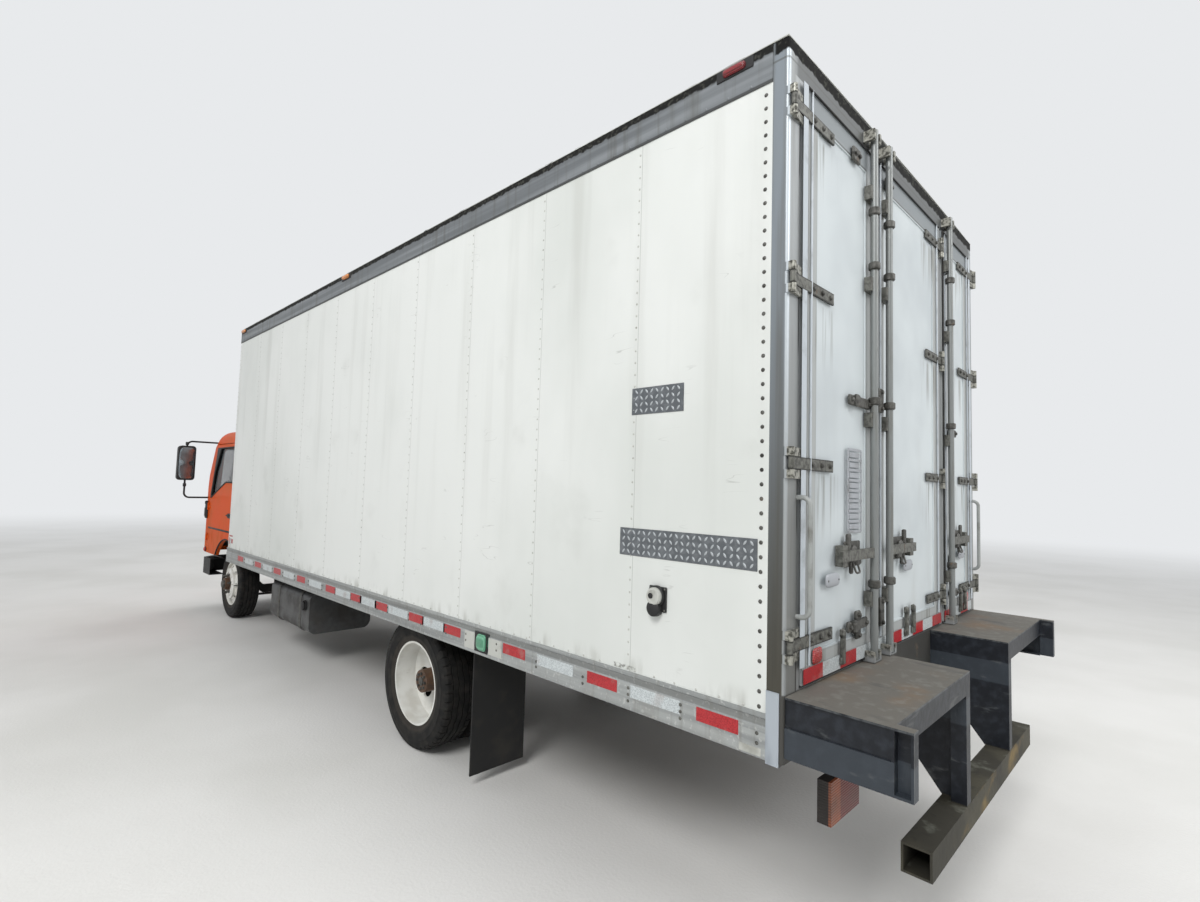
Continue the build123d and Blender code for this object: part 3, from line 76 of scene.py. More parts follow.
class Amount:  # a shader value: sums and products with it add Math nodes
    def __init__(self, finish, socket):
        self.finish, self.socket = finish, socket

    def work(self, kind, first, second=0.0):
        return self.finish.add("ShaderNodeMath", {"operation": kind}, {0: first, 1: second})

    def __add__(self, other):
        return self.work("ADD", self, other)

    def __radd__(self, other):
        return self.work("ADD", other, self)

    def __sub__(self, other):
        return self.work("SUBTRACT", self, other)

    def __rsub__(self, other):
        return self.work("SUBTRACT", other, self)

    def __mul__(self, other):
        return self.work("MULTIPLY", self, other)

    def __rmul__(self, other):
        return self.work("MULTIPLY", other, self)

    def __abs__(self):
        return self.work("ABSOLUTE", self)

    def most(self, other):
        return self.work("MAXIMUM", self, other)

    def least(self, other):
        return self.work("MINIMUM", self, other)

    def root(self):
        return self.work("SQRT", self)

    def rise(self, low, high):  # 0 below low, 1 above high, smooth in between
        return self.finish.add("ShaderNodeMapRange", {"interpolation_type": "SMOOTHSTEP"},
                               {0: self, 1: low, 2: high, 3: 0.0, 4: 1.0})

    def near(self, middle, half, soft=0.002):  # 1 within half of the middle
        return 1 - abs(self - middle).rise(half, half + soft)

    def toLine(self, start, pitch):  # distance to the nearest of evenly spaced lines
        return self.work("PINGPONG", self - start, pitch / 2)


class Finish:  # a material, or the world when that is its owner
    def __init__(self, name, owner=None):
        self.owner = owner or bpy.data.materials.new(name)
        self.owner.use_nodes = True
        self.tree = self.owner.node_tree
        self.tree.nodes.clear()
        if not owner:
            self.where = self.add("ShaderNodeTexCoord", out="Object")
            self.x, self.y, self.z = self.parts(self.where)

    def add(self, kind, settings=None, values=None, out=0):
        node = self.tree.nodes.new(kind)
        for key, value in (settings or {}).items():
            setattr(node, key, value)
        for key, value in (values or {}).items():
            if isinstance(value, Amount):
                self.tree.links.new(value.socket, node.inputs[key])
            else:
                node.inputs[key].default_value = value
        return Amount(self, node.outputs[out])

    def parts(self, source):
        return [self.add("ShaderNodeSeparateXYZ", None, {0: source}, out=k) for k in range(3)]

    def facing(self):  # the surface's own direction, which turns with the piece
        return self.parts(self.add("ShaderNodeTexCoord", out="Normal"))

    def spot(self, stretch):
        if not stretch:
            return self.where
        return self.add("ShaderNodeMapping", None, {"Vector": self.where, "Scale": stretch})

    def cloud(self, scale, detail=4.0, stretch=None):
        return self.add("ShaderNodeTexNoise", None,
                        {"Vector": self.spot(stretch), "Scale": scale, "Detail": detail})

    def cells(self, scale, stretch=None):
        return self.add("ShaderNodeTexVoronoi", None,
                        {"Vector": self.spot(stretch), "Scale": scale}, out="Distance")

    def over(self, share, under, upper):  # under where share is 0, upper where it is 1
        under, upper = (tone(c) if isinstance(c, tuple) else c for c in (under, upper))
        return self.add("ShaderNodeMix", {"data_type": "RGBA"}, {0: share, 6: under, 7: upper},
                        out=2)

    def start(self, share, under, upper):  # the first two colours
        self.colour = self.over(share, under, upper)

    def coat(self, share, upper):  # one more colour over what is there
        self.colour = self.over(share, self.colour, upper)

    def relief(self, height, depth):
        return self.add("ShaderNodeBump", None, {"Height": height, "Distance": depth})

    def finishWith(self, shader, kind="Material"):
        output = self.tree.nodes.new("ShaderNodeOutput" + kind)
        self.tree.links.new(shader.socket, output.inputs["Surface"])
        return self.owner

    def close(self, **sockets):
        values = {key.replace("_", " "): value for key, value in sockets.items()}
        return self.finishWith(self.add("ShaderNodeBsdfPrincipled", None,
                                        {"Base Color": self.colour, **values}))


# finishes of the box body
boxSkin = {"white": (223, 225, 222), "shade": (209, 212, 208), "dirt": (150, 150, 141),
           "seamPitch": 0.6372, "seamStart": 3.332}


def makeBoxSkin():
    f = Finish("box_skin")
    f.start(f.cloud(1.1, 4, (1, 1, 0.6)).rise(0.35, 0.7), boxSkin["white"], boxSkin["shade"])
    streaks = f.cloud(8, 5, (1, 1, 0.06)).rise(0.5, 0.8) * f.z.rise(0.9, 2.2)
    smears = f.cloud(2.6, 8).rise(0.58, 0.82)
    foot = (1 - f.z.rise(0.925, 1.0)) * f.cloud(16, 5, (1, 1, 0.3)).rise(0.45, 0.75)
    f.coat((streaks * 0.2).most(smears * 0.2).most(foot * 0.5), boxSkin["dirt"])
    seam = f.y.toLine(boxSkin["seamStart"], boxSkin["seamPitch"])
    f.coat((1 - seam.rise(0.0006, 0.0018)) * 0.55, (120, 122, 116))
    scuffs = (1 - f.cells(5.5, (1, 1, 0.5)).rise(0.0, 0.035)) * f.cloud(3.1, 2).rise(0.55, 0.62)
    scratch = f.cloud(16, 2, (1, 0.14, 1)).near(0.5, 0.003, 0.005) * f.cloud(4.1, 3).rise(0.6, 0.7)
    dent = f.y.near(3.3, 0.05, 0.02) * f.z.near(0.93, 0.006, 0.006) * f.cloud(70, 3).rise(0.42, 0.6)
    f.coat((scuffs * 0.5).most(scratch * 0.3).most(dent * 0.8), (112, 112, 106))
    ripples = f.cloud(5, 2, (1, 1, 0.12)) * (1 - f.y.rise(-2.2, 1.5)) * 0.3
    height = (f.cloud(1.4, 2, (1, 1, 0.5)) * 0.6 + ripples + seam.rise(0.0, 0.03) * 0.08
              + f.cloud(6, 2) * 0.06)
    return f.close(Roughness=0.4 + smears * 0.2, Normal=f.relief(height, 0.008),
                   Specular_IOR_Level=0.4)


leafEdges = {"left": (0.429, 1.097), "centre": (-0.497, 0.421), "right": (-1.097, -0.558)}
doorSkin = {"white": (204, 211, 213), "shade": (187, 194, 197), "stile": (166, 169, 168),
            "topRail": (128, 134, 137), "hingePitch": 0.634, "hingeTop": 3.02}


def belowHinge(f):  # how far down from the hinge above
    pitch = doorSkin["hingePitch"]
    top = doorSkin["hingeTop"] + pitch - f.z
    return top.work("MODULO", top, pitch)


def makeDoorSkin(name, low, high, hingeX):  # x of the leaf's two edges, x of its hinge line
    f = Finish(name)
    patches = f.cloud(1.7, 3)
    f.start(patches.rise(0.4, 0.7), doorSkin["white"], doorSkin["shade"])
    middle, half = (low + high) / 2, (high - low) / 2
    inward = half - abs(f.x - middle)
    upward = (f.z - 1.0).least(3.164 - f.z)
    border = inward.least(upward)
    stile = 1 - border.rise(0.094, 0.097)
    lines = (1 - abs(inward - 0.028).rise(0.002, 0.005)).most(
        1 - abs(inward - 0.062).rise(0.001, 0.004))
    f.coat(stile, f.over(f.z.rise(3.03, 3.09), doorSkin["stile"], doorSkin["topRail"]))
    f.coat(lines * stile * 0.65, (92, 93, 90))
    f.coat((1 - abs(border - 0.0965).rise(0.001, 0.004)) * 0.5, (110, 112, 110))
    f.coat(f.z.near(3.0675, 0.003, 0.003) * inward.rise(0.09, 0.096) * 0.8, (58, 60, 60))
    below = belowHinge(f)
    runs = f.cloud(36, 3, (1, 1, 0.035)).rise(0.5, 0.66)
    byHinge = abs(f.x - hingeX)
    drip = runs * (1 - byHinge.rise(0.2, 0.34))
    drip = drip * below.rise(0.0, 0.03) * (1 - below.rise(0.06, 0.3))
    f.coat(drip * 0.62, (96, 92, 80))
    haze = f.cloud(7, 5, (1, 1, 0.25)).rise(0.5, 0.8) * (1 - f.z.rise(1.0, 2.6))
    f.coat(haze * 0.25, (150, 148, 138))
    return f.close(Roughness=0.34 + stile * 0.1,
                   Normal=f.relief(f.cloud(2.2, 2) + lines * stile * -0.15, 0.004))


railMetal = {"pale": (172, 175, 174), "dark": (144, 147, 147), "stain": (116, 112, 103)}


def makeRailMetal():
    f = Finish("rail_metal")
    brushed = f.cloud(7, 6, (1, 0.12, 6))
    f.start(brushed.rise(0.35, 0.7), railMetal["dark"], railMetal["pale"])
    fleck = f.cloud(60, 2).rise(0.58, 0.7)
    f.coat(fleck * 0.35, (220, 221, 218))
    stain = f.cloud(6, 6, (1, 1, 0.4)).rise(0.52, 0.78)
    runs = f.cloud(26, 4, (1, 1, 0.05)).rise(0.54, 0.7)
    f.coat((stain * 0.45).most(runs * 0.35), railMetal["stain"])
    f.coat(f.z.near(0.885, 0.011, 0.003) * 0.5, (112, 113, 110))
    return f.close(Roughness=0.42 + stain * 0.2, Metallic=0.5 - stain * 0.35,
                   Normal=f.relief(brushed + fleck * 0.2, 0.0008))


def makeTopRail():
    f = Finish("top_rail")
    brushed = f.cloud(6, 5, (1, 0.1, 5))
    f.start(brushed.rise(0.35, 0.7), (108, 112, 115), (136, 140, 143))
    runs = f.cloud(30, 3, (1, 1, 0.05)).rise(0.5, 0.72)
    f.coat(runs * 0.45, (92, 92, 87))
    f.coat(f.z.near(3.150, 0.005, 0.002) * 0.8, (62, 63, 62))
    pitch = (f.z + f.cloud(30, 4) * 0.03).rise(3.268, 3.276)
    f.coat(pitch, f.over(f.cloud(50, 3).rise(0.5, 0.68), (20, 20, 19), (62, 62, 57)))
    return f.close(Roughness=0.5 + pitch * 0.4, Metallic=0.3 - pitch * 0.3, Specular_IOR_Level=0.3,
                   Normal=f.relief(brushed * 0.3 + pitch, 0.0015))


# postLowShade and postHighSkyReflection colour the post's side: painted shade low, painted sky
# reflection high; corner is a painted highlight
rearFrame = {"postLowShade": (72, 70, 63), "postHighSkyReflection": (134, 141, 147), "light": (160, 163, 164),
             "header": (92, 94, 94), "sill": (70, 69, 66), "corner": (198, 205, 210),
             "sheath": (168, 175, 182)}


def makeRearFrame():
    f = Finish("rear_frame_metal")
    brushed = f.cloud(8, 5, (6, 6, 0.08))
    height = (f.z + brushed * 0.5).rise(1.2, 3.0)
    # the post's side runs from dark brown-grey low to blue-grey high: painted shade low, painted
    # sky reflection high
    post = f.over(height, rearFrame["postLowShade"], rearFrame["postHighSkyReflection"])
    post = f.over(f.cloud(30, 3, (1, 1, 0.03)).rise(0.5, 0.7) * 0.35, post, (96, 92, 82))
    f.start(brushed.rise(0.35, 0.7), rearFrame["light"], (156, 159, 160))
    across = abs(f.x)
    # rear face near the corner, darker towards the bottom: painted shade, as on the post's side
    f.coat((1 - height) * across.rise(1.11, 1.13) * 0.55, (110, 108, 100))
    # bright strip down the rear corner, brighter towards the top: painted highlight
    f.coat(across.rise(1.196, 1.2) * height.most(0.25), rearFrame["corner"])
    f.coat(across.rise(1.2128, 1.2148) * (1 - f.y.rise(4.004, 4.007)), post)
    slots = f.cloud(24, 3, (1, 1, 0.04)).rise(0.5, 0.68)
    f.coat(slots * 0.3, (88, 86, 78))
    below = belowHinge(f)
    streak = across.near(1.130, 0.0028, 0.002) * below.rise(0, 0.02) * (1 - below.rise(0.18, 0.26))
    f.coat(streak * 0.8, (44, 44, 42))
    rust = f.cloud(11, 7).rise(0.6, 0.75)
    sill = 1 - f.z.rise(0.986, 0.994)
    f.coat(sill, f.over(rust * 0.6, rearFrame["sill"], (98, 82, 66)))
    sheath = across.rise(1.2158, 1.217) * (1 - f.z.rise(0.996, 0.999))
    f.coat(sheath, f.over(f.cloud(9, 5, (1, 1, 0.3)).rise(0.4, 0.7), rearFrame["sheath"],
                          (122, 128, 136)))
    f.coat(f.z.rise(3.166, 3.17) * (1 - across.rise(1.14, 1.18)) * 0.95, rearFrame["header"])
    f.coat(f.z.near(3.214, 0.003) * 0.6, (84, 85, 82))
    pitch = (f.z + f.cloud(26, 4) * 0.035).rise(3.254, 3.262) * f.y.rise(3.95, 3.96)
    f.coat(pitch, f.over(f.cloud(60, 3).rise(0.56, 0.7), (14, 14, 13), (60, 61, 55)))
    barrel = f.y.rise(4.012, 4.016) * f.z.rise(0.998, 1.02)
    grit = f.cloud(70, 4).rise(0.35, 0.6)
    f.coat(barrel, f.over(grit, (74, 73, 67), (160, 159, 150)))
    return f.close(Roughness=0.42 + (rust * sill * 0.35).most(pitch * 0.48),
                   Metallic=0.4 - (sill * 0.3).most(pitch * 0.4), Specular_IOR_Level=0.3,
                   Normal=f.relief(brushed * 0.3 + rust * sill + pitch, 0.0012))


# plate and rod greys are set darker than the steel itself: partly painted shade
hardware = {"plate": (108, 108, 102), "oiled": (92, 91, 87), "grime": (52, 51, 47),
            "rust": (120, 96, 72), "rod": (130, 133, 132), "levels": (1.149, 1.768, 2.412, 3.050)}


def makeHardware(name, dark, rodX=9.0, plate="plate"):
    f = Finish(name)
    grit = f.cloud(55, 5).rise(0.36, 0.6)
    blot = f.cloud(14, 4).rise(0.5, 0.68)
    f.start(grit * 0.65 + 0.35, hardware["grime"], hardware[plate])
    f.coat(blot * dark * 0.8, hardware["grime"])
    rust = f.cloud(31, 4, (1, 1, 0.5)).rise(0.64, 0.74)
    f.coat(rust * 0.4, hardware["rust"])
    slot = f.z * 0
    for level in hardware["levels"]:
        slot = slot.most(abs(f.z - level).near(0.024, 0.005))
    f.coat(slot * (1 - f.x.near(rodX, 0.03)) * 0.8, (40, 39, 36))
    rod = f.x.near(rodX, 0.0156, 0.001) * f.y.rise(4.03, 4.033)
    drips = f.cloud(40, 4, (1, 1, 0.08)).rise(0.52, 0.7)
    f.coat(rod * 0.95, f.over(drips * 0.5, hardware["rod"], (112, 111, 104)))
    return f.close(Roughness=0.5 + rust * 0.3 - rod * 0.1, Metallic=0.35 - rust * 0.3,
                   Normal=f.relief(grit * (1 - rod) + rust, 0.001))


def makeRoofSkin():
    f = Finish("roof_skin")
    wash = f.cloud(1.4, 5)
    f.start(wash.rise(0.4, 0.7), (204, 206, 203), (178, 178, 172))
    f.coat(f.cloud(18, 5).rise(0.6, 0.75) * 0.4, (120, 118, 106))
    bow = f.y.toLine(-2.49, 0.61)
    f.coat((1 - bow.rise(0.001, 0.004)) * 0.4, (120, 120, 114))
    return f.close(Roughness=0.5,
                   Normal=f.relief(wash + bow.rise(0, 0.05) * 0.4, 0.006))


def makeDeck():  # boards on top, painted steel sills below
    f = Finish("deck")
    board = f.x.toLine(0.0, 0.14)
    grain = f.cloud(5, 8, (14, 0.5, 14))
    wood = f.over(grain.rise(0.3, 0.7), (104, 78, 54), (148, 118, 86))
    wood = f.over((1 - board.rise(0.001, 0.003)) * 0.8, wood, (38, 32, 26))
    wood = f.over(f.cloud(3, 5).rise(0.5, 0.7) * 0.4, wood, (92, 84, 74))
    dust = f.cloud(9, 5).rise(0.45, 0.7)
    steel = f.over(dust, (44, 44, 45), (70, 66, 60))
    f.start(f.z.rise(0.938, 0.9405), steel, wood)
    return f.close(Roughness=0.68 + dust * 0.15,
                   Normal=f.relief(grain * 0.4 + board.rise(0, 0.004), 0.0015))


# paint and worn are darker than the blue-black paint itself: partly painted shade; edge colours the
# scrapes and the painted edge highlight
dock = {"paint": (24, 27, 33), "worn": (40, 44, 51), "edge": (98, 101, 102), "top": (100, 97, 91),
        "rust": (118, 98, 78), "bar": (74, 71, 60), "ochre": (120, 102, 66)}


def makeDock():
    f = Finish("dock_steel")
    sideways, _, upright = f.facing()
    upward = upright.rise(0.6, 0.9)
    fine = f.cloud(26, 7)
    broad = f.cloud(3.2, 6)
    # mottled blue-black paint, set darker overall: partly painted shade
    f.start(fine.rise(0.4, 0.75), dock["paint"], dock["worn"])
    f.coat((1 - f.z.rise(0.884, 0.888)) * f.z.rise(0.78, 0.79) * 0.5, (70, 77, 84))
    scrape = f.cloud(9, 6, (0.5, 1, 3)).rise(0.62, 0.76)
    f.coat(scrape * 0.5, dock["edge"])
    top = upward * f.z.rise(0.978, 0.982)
    worn = f.over(broad.rise(0.5, 0.72) * 0.75, dock["top"], dock["rust"])
    worn = f.over(fine.rise(0.5, 0.7) * 0.5, worn, (122, 121, 115))
    worn = f.over(f.cloud(11, 5, (1, 0.4, 1)).rise(0.6, 0.7) * 0.5, worn, (74, 74, 74))
    f.coat(top, worn)
    low = 1 - f.z.rise(0.482, 0.49)
    mud = f.over(broad.rise(0.4, 0.62), (58, 56, 49), dock["bar"])
    mud = f.over(f.cloud(7, 6, (0.5, 1, 1)).rise(0.48, 0.66) * f.y.rise(4.346, 4.349), mud,
                 dock["ochre"])
    mud = f.over(f.cloud(9, 6).rise(0.55, 0.7) * upward * 0.8, mud, (120, 122, 112))
    mud = f.over(fine.rise(0.55, 0.72) * 0.5, mud, (46, 45, 41))
    f.coat(low, mud)
    # pale line along the outer corners and the top edge: painted highlight, broken up by noise
    corner = abs(f.x).near(1.203, 0.003, 0.004) * (1 - abs(sideways).rise(0.4, 0.8))
    corner = corner.most(f.z.near(0.983, 0.003, 0.003))
    f.coat(corner * fine.rise(0.3, 0.6) * 0.6 * (1 - upward) * (1 - low), dock["edge"])
    return f.close(Roughness=0.45 + top.most(low) * 0.3, Specular_IOR_Level=0.3,
                   Normal=f.relief(fine + broad * 0.6, 0.002))


def makeChassisBlack(name, shine=0.6):
    f = Finish(name)
    fine = f.cloud(22, 6)
    dust = f.cloud(3.5, 5).rise(0.42, 0.7)
    f.start(fine.rise(0.4, 0.7), (30, 30, 31), (46, 45, 44))
    f.coat(dust * 0.55, (82, 76, 68))
    rust = f.cloud(12, 6).rise(0.62, 0.74)
    f.coat(rust * 0.5, (94, 62, 42))
    return f.close(Roughness=shine + dust * 0.2, Normal=f.relief(fine, 0.0012))


def fromAxle(f, axleY):  # distance from the axle line
    dy, dz = f.y - axleY, f.z - truck["hub"]
    return (dy * dy + dz * dz).root()


tyreMarks = {"rings": (0.30, 0.345), "ribs": 0.375}


def makeTyre(axleY):
    f = Finish("tyre_" + ("front" if axleY < 0 else "rear"))
    radius = fromAxle(f, axleY)
    dust = f.cloud(16, 5).rise(0.35, 0.75)
    f.start(dust, (20, 20, 20), (42, 40, 37))
    f.coat((1 - abs(radius - 0.27).rise(0.008, 0.03)) * 0.4, (70, 64, 57))
    inner, outer = (1 - abs(radius - mark).rise(0.001, 0.003) for mark in tyreMarks["rings"])
    ring = inner + outer
    rib = radius.toLine(tyreMarks["ribs"], 0.006).rise(0.001, 0.002) * radius.rise(0.372, 0.374)
    return f.close(Roughness=0.78, Normal=f.relief(ring + rib * 0.3 + f.cloud(90, 3) * 0.3, 0.0016),
                   Specular_IOR_Level=0.3)


def makeRim(axleY):
    f = Finish("rim_" + ("front" if axleY < 0 else "rear"))
    radius = fromAxle(f, axleY)
    f.start(f.cloud(9, 4).rise(0.4, 0.7), (226, 226, 221), (206, 204, 196))
    rust = (f.cloud(24, 6) + (0.16 - radius) * 1.6).rise(0.56, 0.76)
    f.coat(rust * 0.8, (96, 66, 44))
    hub = 1 - radius.rise(0.1, 0.112)
    f.coat(hub, f.over(f.cloud(30, 5), (52, 44, 38), (104, 74, 52)))
    return f.close(Roughness=0.42 + rust * 0.35,
                   Normal=f.relief(rust + f.cloud(40, 3) * 0.2, 0.001))


cabPaint = {"orange": (214, 78, 4), "faded": (200, 84, 18), "dust": (150, 104, 76),
            "surround": (24, 24, 25)}


def makeCabPaint():
    f = Finish("cab_orange")
    fade = f.cloud(2.4, 5)
    f.start(fade.rise(0.4, 0.68), cabPaint["orange"], cabPaint["faded"])
    dust = f.cloud(10, 5, (1, 1, 0.4)).rise(0.45, 0.75) * (1 - f.z.rise(0.75, 1.3))
    f.coat(dust * 0.4, cabPaint["dust"])
    chip = (1 - f.cells(38).rise(0.02, 0.05)) * f.cloud(7, 2).rise(0.55, 0.65)
    f.coat(chip * 0.7, (92, 52, 34))
    # lower edge of the blacked-out window surround
    sill = (1.40 + (f.y + 4.065) * 0.357).most(1.40).least(1.60)
    tall = (f.z - sill).rise(-0.002, 0.002) * (1 - f.z.rise(2.05, 2.054))
    surround = tall * f.y.rise(-4.13, -4.126)
    surround = surround * abs(f.x).rise(0.93, 0.94) * (1 - f.y.rise(-3.08, -3.076))
    f.coat(surround, cabPaint["surround"])
    return f.close(Roughness=0.46 + dust * 0.3, Coat_Weight=0.06 - dust * 0.05, Coat_Roughness=0.2,
                   Specular_IOR_Level=0.09, Normal=f.relief(fade, 0.0012))


def makePlastic(name, dark, pale, grain=420, rough=0.55):
    f = Finish(name)
    scuff = f.cloud(11, 5).rise(0.5, 0.75)
    f.start(scuff, dark, pale)
    return f.close(Roughness=rough + scuff * 0.15, Normal=f.relief(f.cloud(grain, 2), 0.0004))


def makeGlass():
    f = Finish("window_glass")
    haze = f.cloud(4, 4)
    f.start(haze, (16, 21, 21), (30, 36, 35))
    return f.close(Roughness=0.04, Alpha=0.27 + haze * 0.1, Specular_IOR_Level=0.5)


def makeLens(name, deep, bright, pitch):
    f = Finish(name)
    ribs = f.z.toLine(0.0, pitch).rise(0.0, pitch / 2) + f.x.toLine(0.0, pitch).rise(0.0, pitch / 2)
    f.start(ribs * 0.5, deep, bright)
    f.coat(f.cloud(12, 4).rise(0.55, 0.8) * 0.35, (84, 74, 66))
    return f.close(Roughness=0.22, Coat_Weight=0.6, Coat_Roughness=0.08,
                   Normal=f.relief(ribs, 0.0012))


def makeBoxLamps():  # orange outboard, red inboard, green in the side recess
    f = Finish("box_lamp_lenses")
    ribs = f.z.toLine(0.0, 0.01).rise(0.0, 0.005)
    # both lens colours are kept dark: partly painted shade under the dock
    orange = f.over(ribs, (124, 62, 38), (168, 92, 56))
    red = f.over(ribs, (84, 24, 22), (118, 40, 36))
    f.start(abs(f.x).rise(0.742, 0.744), red, orange)
    f.coat(f.cloud(9, 5).rise(0.4, 0.7) * 0.55, (74, 58, 50))
    shell = (1 - f.y.rise(3.992, 3.996)).most(f.z.rise(0.586, 0.588))
    f.coat(shell, f.over(f.cloud(20, 4), (30, 29, 28), (54, 48, 44)))
    green = f.over(f.cells(150).rise(0.1, 0.6), (58, 130, 98), (116, 186, 152))
    f.coat(abs(f.x).rise(1.16, 1.17), green)
    return f.close(Roughness=0.3 + shell * 0.4, Normal=f.relief(ribs, 0.001))


def makeFuelTank():
    f = Finish("tank_alloy_painted_shade")
    brushed = f.cloud(6, 6, (5, 0.15, 5))
    # the alloy is made dark overall: painted shade of the underbody
    f.start(brushed, (70, 71, 72), (104, 105, 105))
    mud = f.cloud(5, 6).rise(0.42, 0.68)
    f.coat(mud * 0.7, (54, 50, 45))
    return f.close(Roughness=0.45 + mud * 0.3, Metallic=0.5 - mud * 0.4,
                   Normal=f.relief(brushed, 0.0008))


def makeCloth(name, dark, pale, pitch=0.0045):
    f = Finish(name)
    u, v = (f.x.toLine(0.0, pitch).rise(0, pitch / 2),
            (f.y + f.z).toLine(0.0, pitch).rise(0, pitch / 2))
    weave = abs(u - v)
    f.start(weave, dark, pale)
    f.coat(f.cloud(6, 5).rise(0.45, 0.75) * 0.4, (92, 86, 78))
    return f.close(Roughness=0.85, Sheen_Weight=0.35, Sheen_Roughness=0.5,
                   Normal=f.relief(weave + f.cloud(40, 3), 0.0012))


finishes = {
    "boxSkin": makeBoxSkin(),
    "rail": makeRailMetal(),
    "topRail": makeTopRail(),
    "rearFrame": makeRearFrame(),
    "doorLeft": makeDoorSkin("door_skin_left", *leafEdges["left"], 1.097),
    "doorCentre": makeDoorSkin("door_skin_centre", *leafEdges["centre"], -0.497),
    "doorRight": makeDoorSkin("door_skin_right", *leafEdges["right"], -1.097),
    "hardwareLeft": makeHardware("hardware_left", 0.4, 0.513),
    "hardwareCentre": makeHardware("hardware_centre", 0.4, 0.337),
    "hardwareRight": makeHardware("hardware_right", 0.4, -0.607),
    "hardware": makeHardware("galvanised_steel", 0.4),
    "darkSteel": makeHardware("grimy_steel", 1.0, 9.0, "oiled"),
    "trim": makePlastic("door_trim", (184, 191, 197), (156, 161, 165), 60, 0.4),
    "rod": makePlastic("galvanised_rod", (150, 153, 151), (112, 112, 107), 60, 0.42),
    "roof": makeRoofSkin(),
    "deck": makeDeck(),
    "dock": makeDock(),
    "chassis": makeChassisBlack("chassis_black"),
    "engine": makeChassisBlack("engine_grey", 0.7),
    "rubber": makePlastic("flap_rubber_black", (20, 20, 20), (44, 42, 38), 120, 0.7),
    "tyreFront": makeTyre(truck["frontAxle"]),
    "tyreRear": makeTyre(truck["rearAxle"]),
    "rimFront": makeRim(truck["frontAxle"]),
    "rimRear": makeRim(truck["rearAxle"]),
    "cabPaint": makeCabPaint(),
    "blackPlastic": makePlastic("black_plastic_grain", (22, 22, 23), (38, 38, 38)),
    "dashPlastic": makePlastic("dash_grey", (84, 85, 88), (104, 104, 104), 260),
    "glass": makeGlass(),
    "headlamp": makeLens("headlamp_lens", (168, 174, 178), (226, 230, 232), 0.022),
    "boxLamps": makeBoxLamps(),
    "amber": makeLens("amber_lens", (196, 104, 34), (232, 150, 70), 0.006),
    "red": makeLens("red_lens", (142, 22, 24), (196, 48, 46), 0.006),
    "darkRed": makeLens("dark_red_lens", (84, 8, 14), (150, 24, 34), 0.006),
    "green": makeLens("green_lens", (44, 116, 84), (118, 190, 154), 0.006),
    "tank": makeFuelTank(),
    "cloth": makeCloth("seat_weave", (66, 69, 76), (104, 109, 120)),
}
nodeFinish = {
    "chassis": ("frame front_axle rear_axle leaf_springs battery_box cab_floor "
                "knuckle_left knuckle_right tie_rod"),
    "engine": "engine driveline", "tank": "fuel_tank", "darkSteel": "exhaust",
    "cabPaint": "cab_front cab_back cab_roof cab_door_left cab_door_right",
    "glass": "cab_glass door_glass_left door_glass_right", "headlamp": "headlamps",
    "blackPlastic": "bumper mirrors grille", "dashPlastic": "dashboard", "cloth": "seats",
    "rubber": "mud_flaps", "boxSkin": "side_walls front_wall", "deck": "box_floor",
    "rail": "lower_rails", "roof": "roof", "topRail": "upper_rails", "rod": "grab_bars",
    "rearFrame": "rear_frame", "boxLamps": "box_lamps", "dock": "dock_bumper",
    "tyreFront": "tyre_front_left tyre_front_right", "tyreRear": "tyres_rear_left tyres_rear_right",
    "rimFront": "rim_front_left rim_front_right", "rimRear": "rims_rear_left rims_rear_right",
    "doorLeft": "rear_door_left", "doorCentre": "rear_door_centre", "doorRight": "rear_door_right",
    "hardwareLeft": "door_hardware_left", "hardwareCentre": "door_hardware_centre",
    "hardwareRight": "door_hardware_right",
}
finishOf = {name: finish for finish, names in nodeFinish.items() for name in names.split()}
for name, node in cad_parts.items():
    for slot in node.material_slots:
        slot.material = finishes[finishOf[name]]
print("finishes on", len(finishOf), "nodes")


# shapes: each is its points and triangles, as arrays
def skinned(rings, ends="shut"):
    # rings of points, counter-clockwise about the way of travel: bands between, a fan at each end
    rings = np.asarray(rings, float)
    rows, columns = rings.shape[:2]
    index = np.arange(rows * columns).reshape(rows, columns)
    if ends == "loop":
        index = np.vstack([index, index[:1]])
    after = np.roll(index, -1, axis=1)
    quads = np.stack([index[:-1], after[:-1], after[1:], index[1:]], -1).reshape(-1, 4)
    faces = [quads[:, :3], quads[:, [0, 2, 3]]]
    points = rings.reshape(-1, 3)
    if ends == "shut":
        first, last = len(points), len(points) + 1
        points = np.vstack([points, rings[0].mean(0), rings[-1].mean(0)])
        faces.append(np.stack([np.full(columns, first), after[0], index[0]], -1))
        faces.append(np.stack([np.full(columns, last), index[-1], after[-1]], -1))
    return points, np.vstack(faces)


def slab(width, depth, height, edge):
    # rectangle with cut corners carried up z, drawn in by the edge at both ends
    def ring(w, d, c, z):
        x, y = w / 2, d / 2
        return [(x - c, -y, z), (x, -y + c, z), (x, y - c, z), (x - c, y, z),
                (-x + c, y, z), (-x, y - c, z), (-x, -y + c, z), (-x + c, -y, z)]
    h = height / 2
    return skinned([ring(width - 2 * edge, depth - 2 * edge, edge / 2, -h),
                    ring(width, depth, edge, -h + edge), ring(width, depth, edge, h - edge),
                    ring(width - 2 * edge, depth - 2 * edge, edge / 2, h)])


def turned(profile, sides=24):
    # radius and height pairs, from the lowest up, turned about z
    angle = np.arange(sides) * 2 * math.pi / sides
    profile = np.asarray(profile, float)
    rings = np.stack([profile[:, :1] * np.cos(angle), profile[:, :1] * np.sin(angle),
                      np.repeat(profile[:, 1:], sides, 1)], -1)
    return skinned(rings)


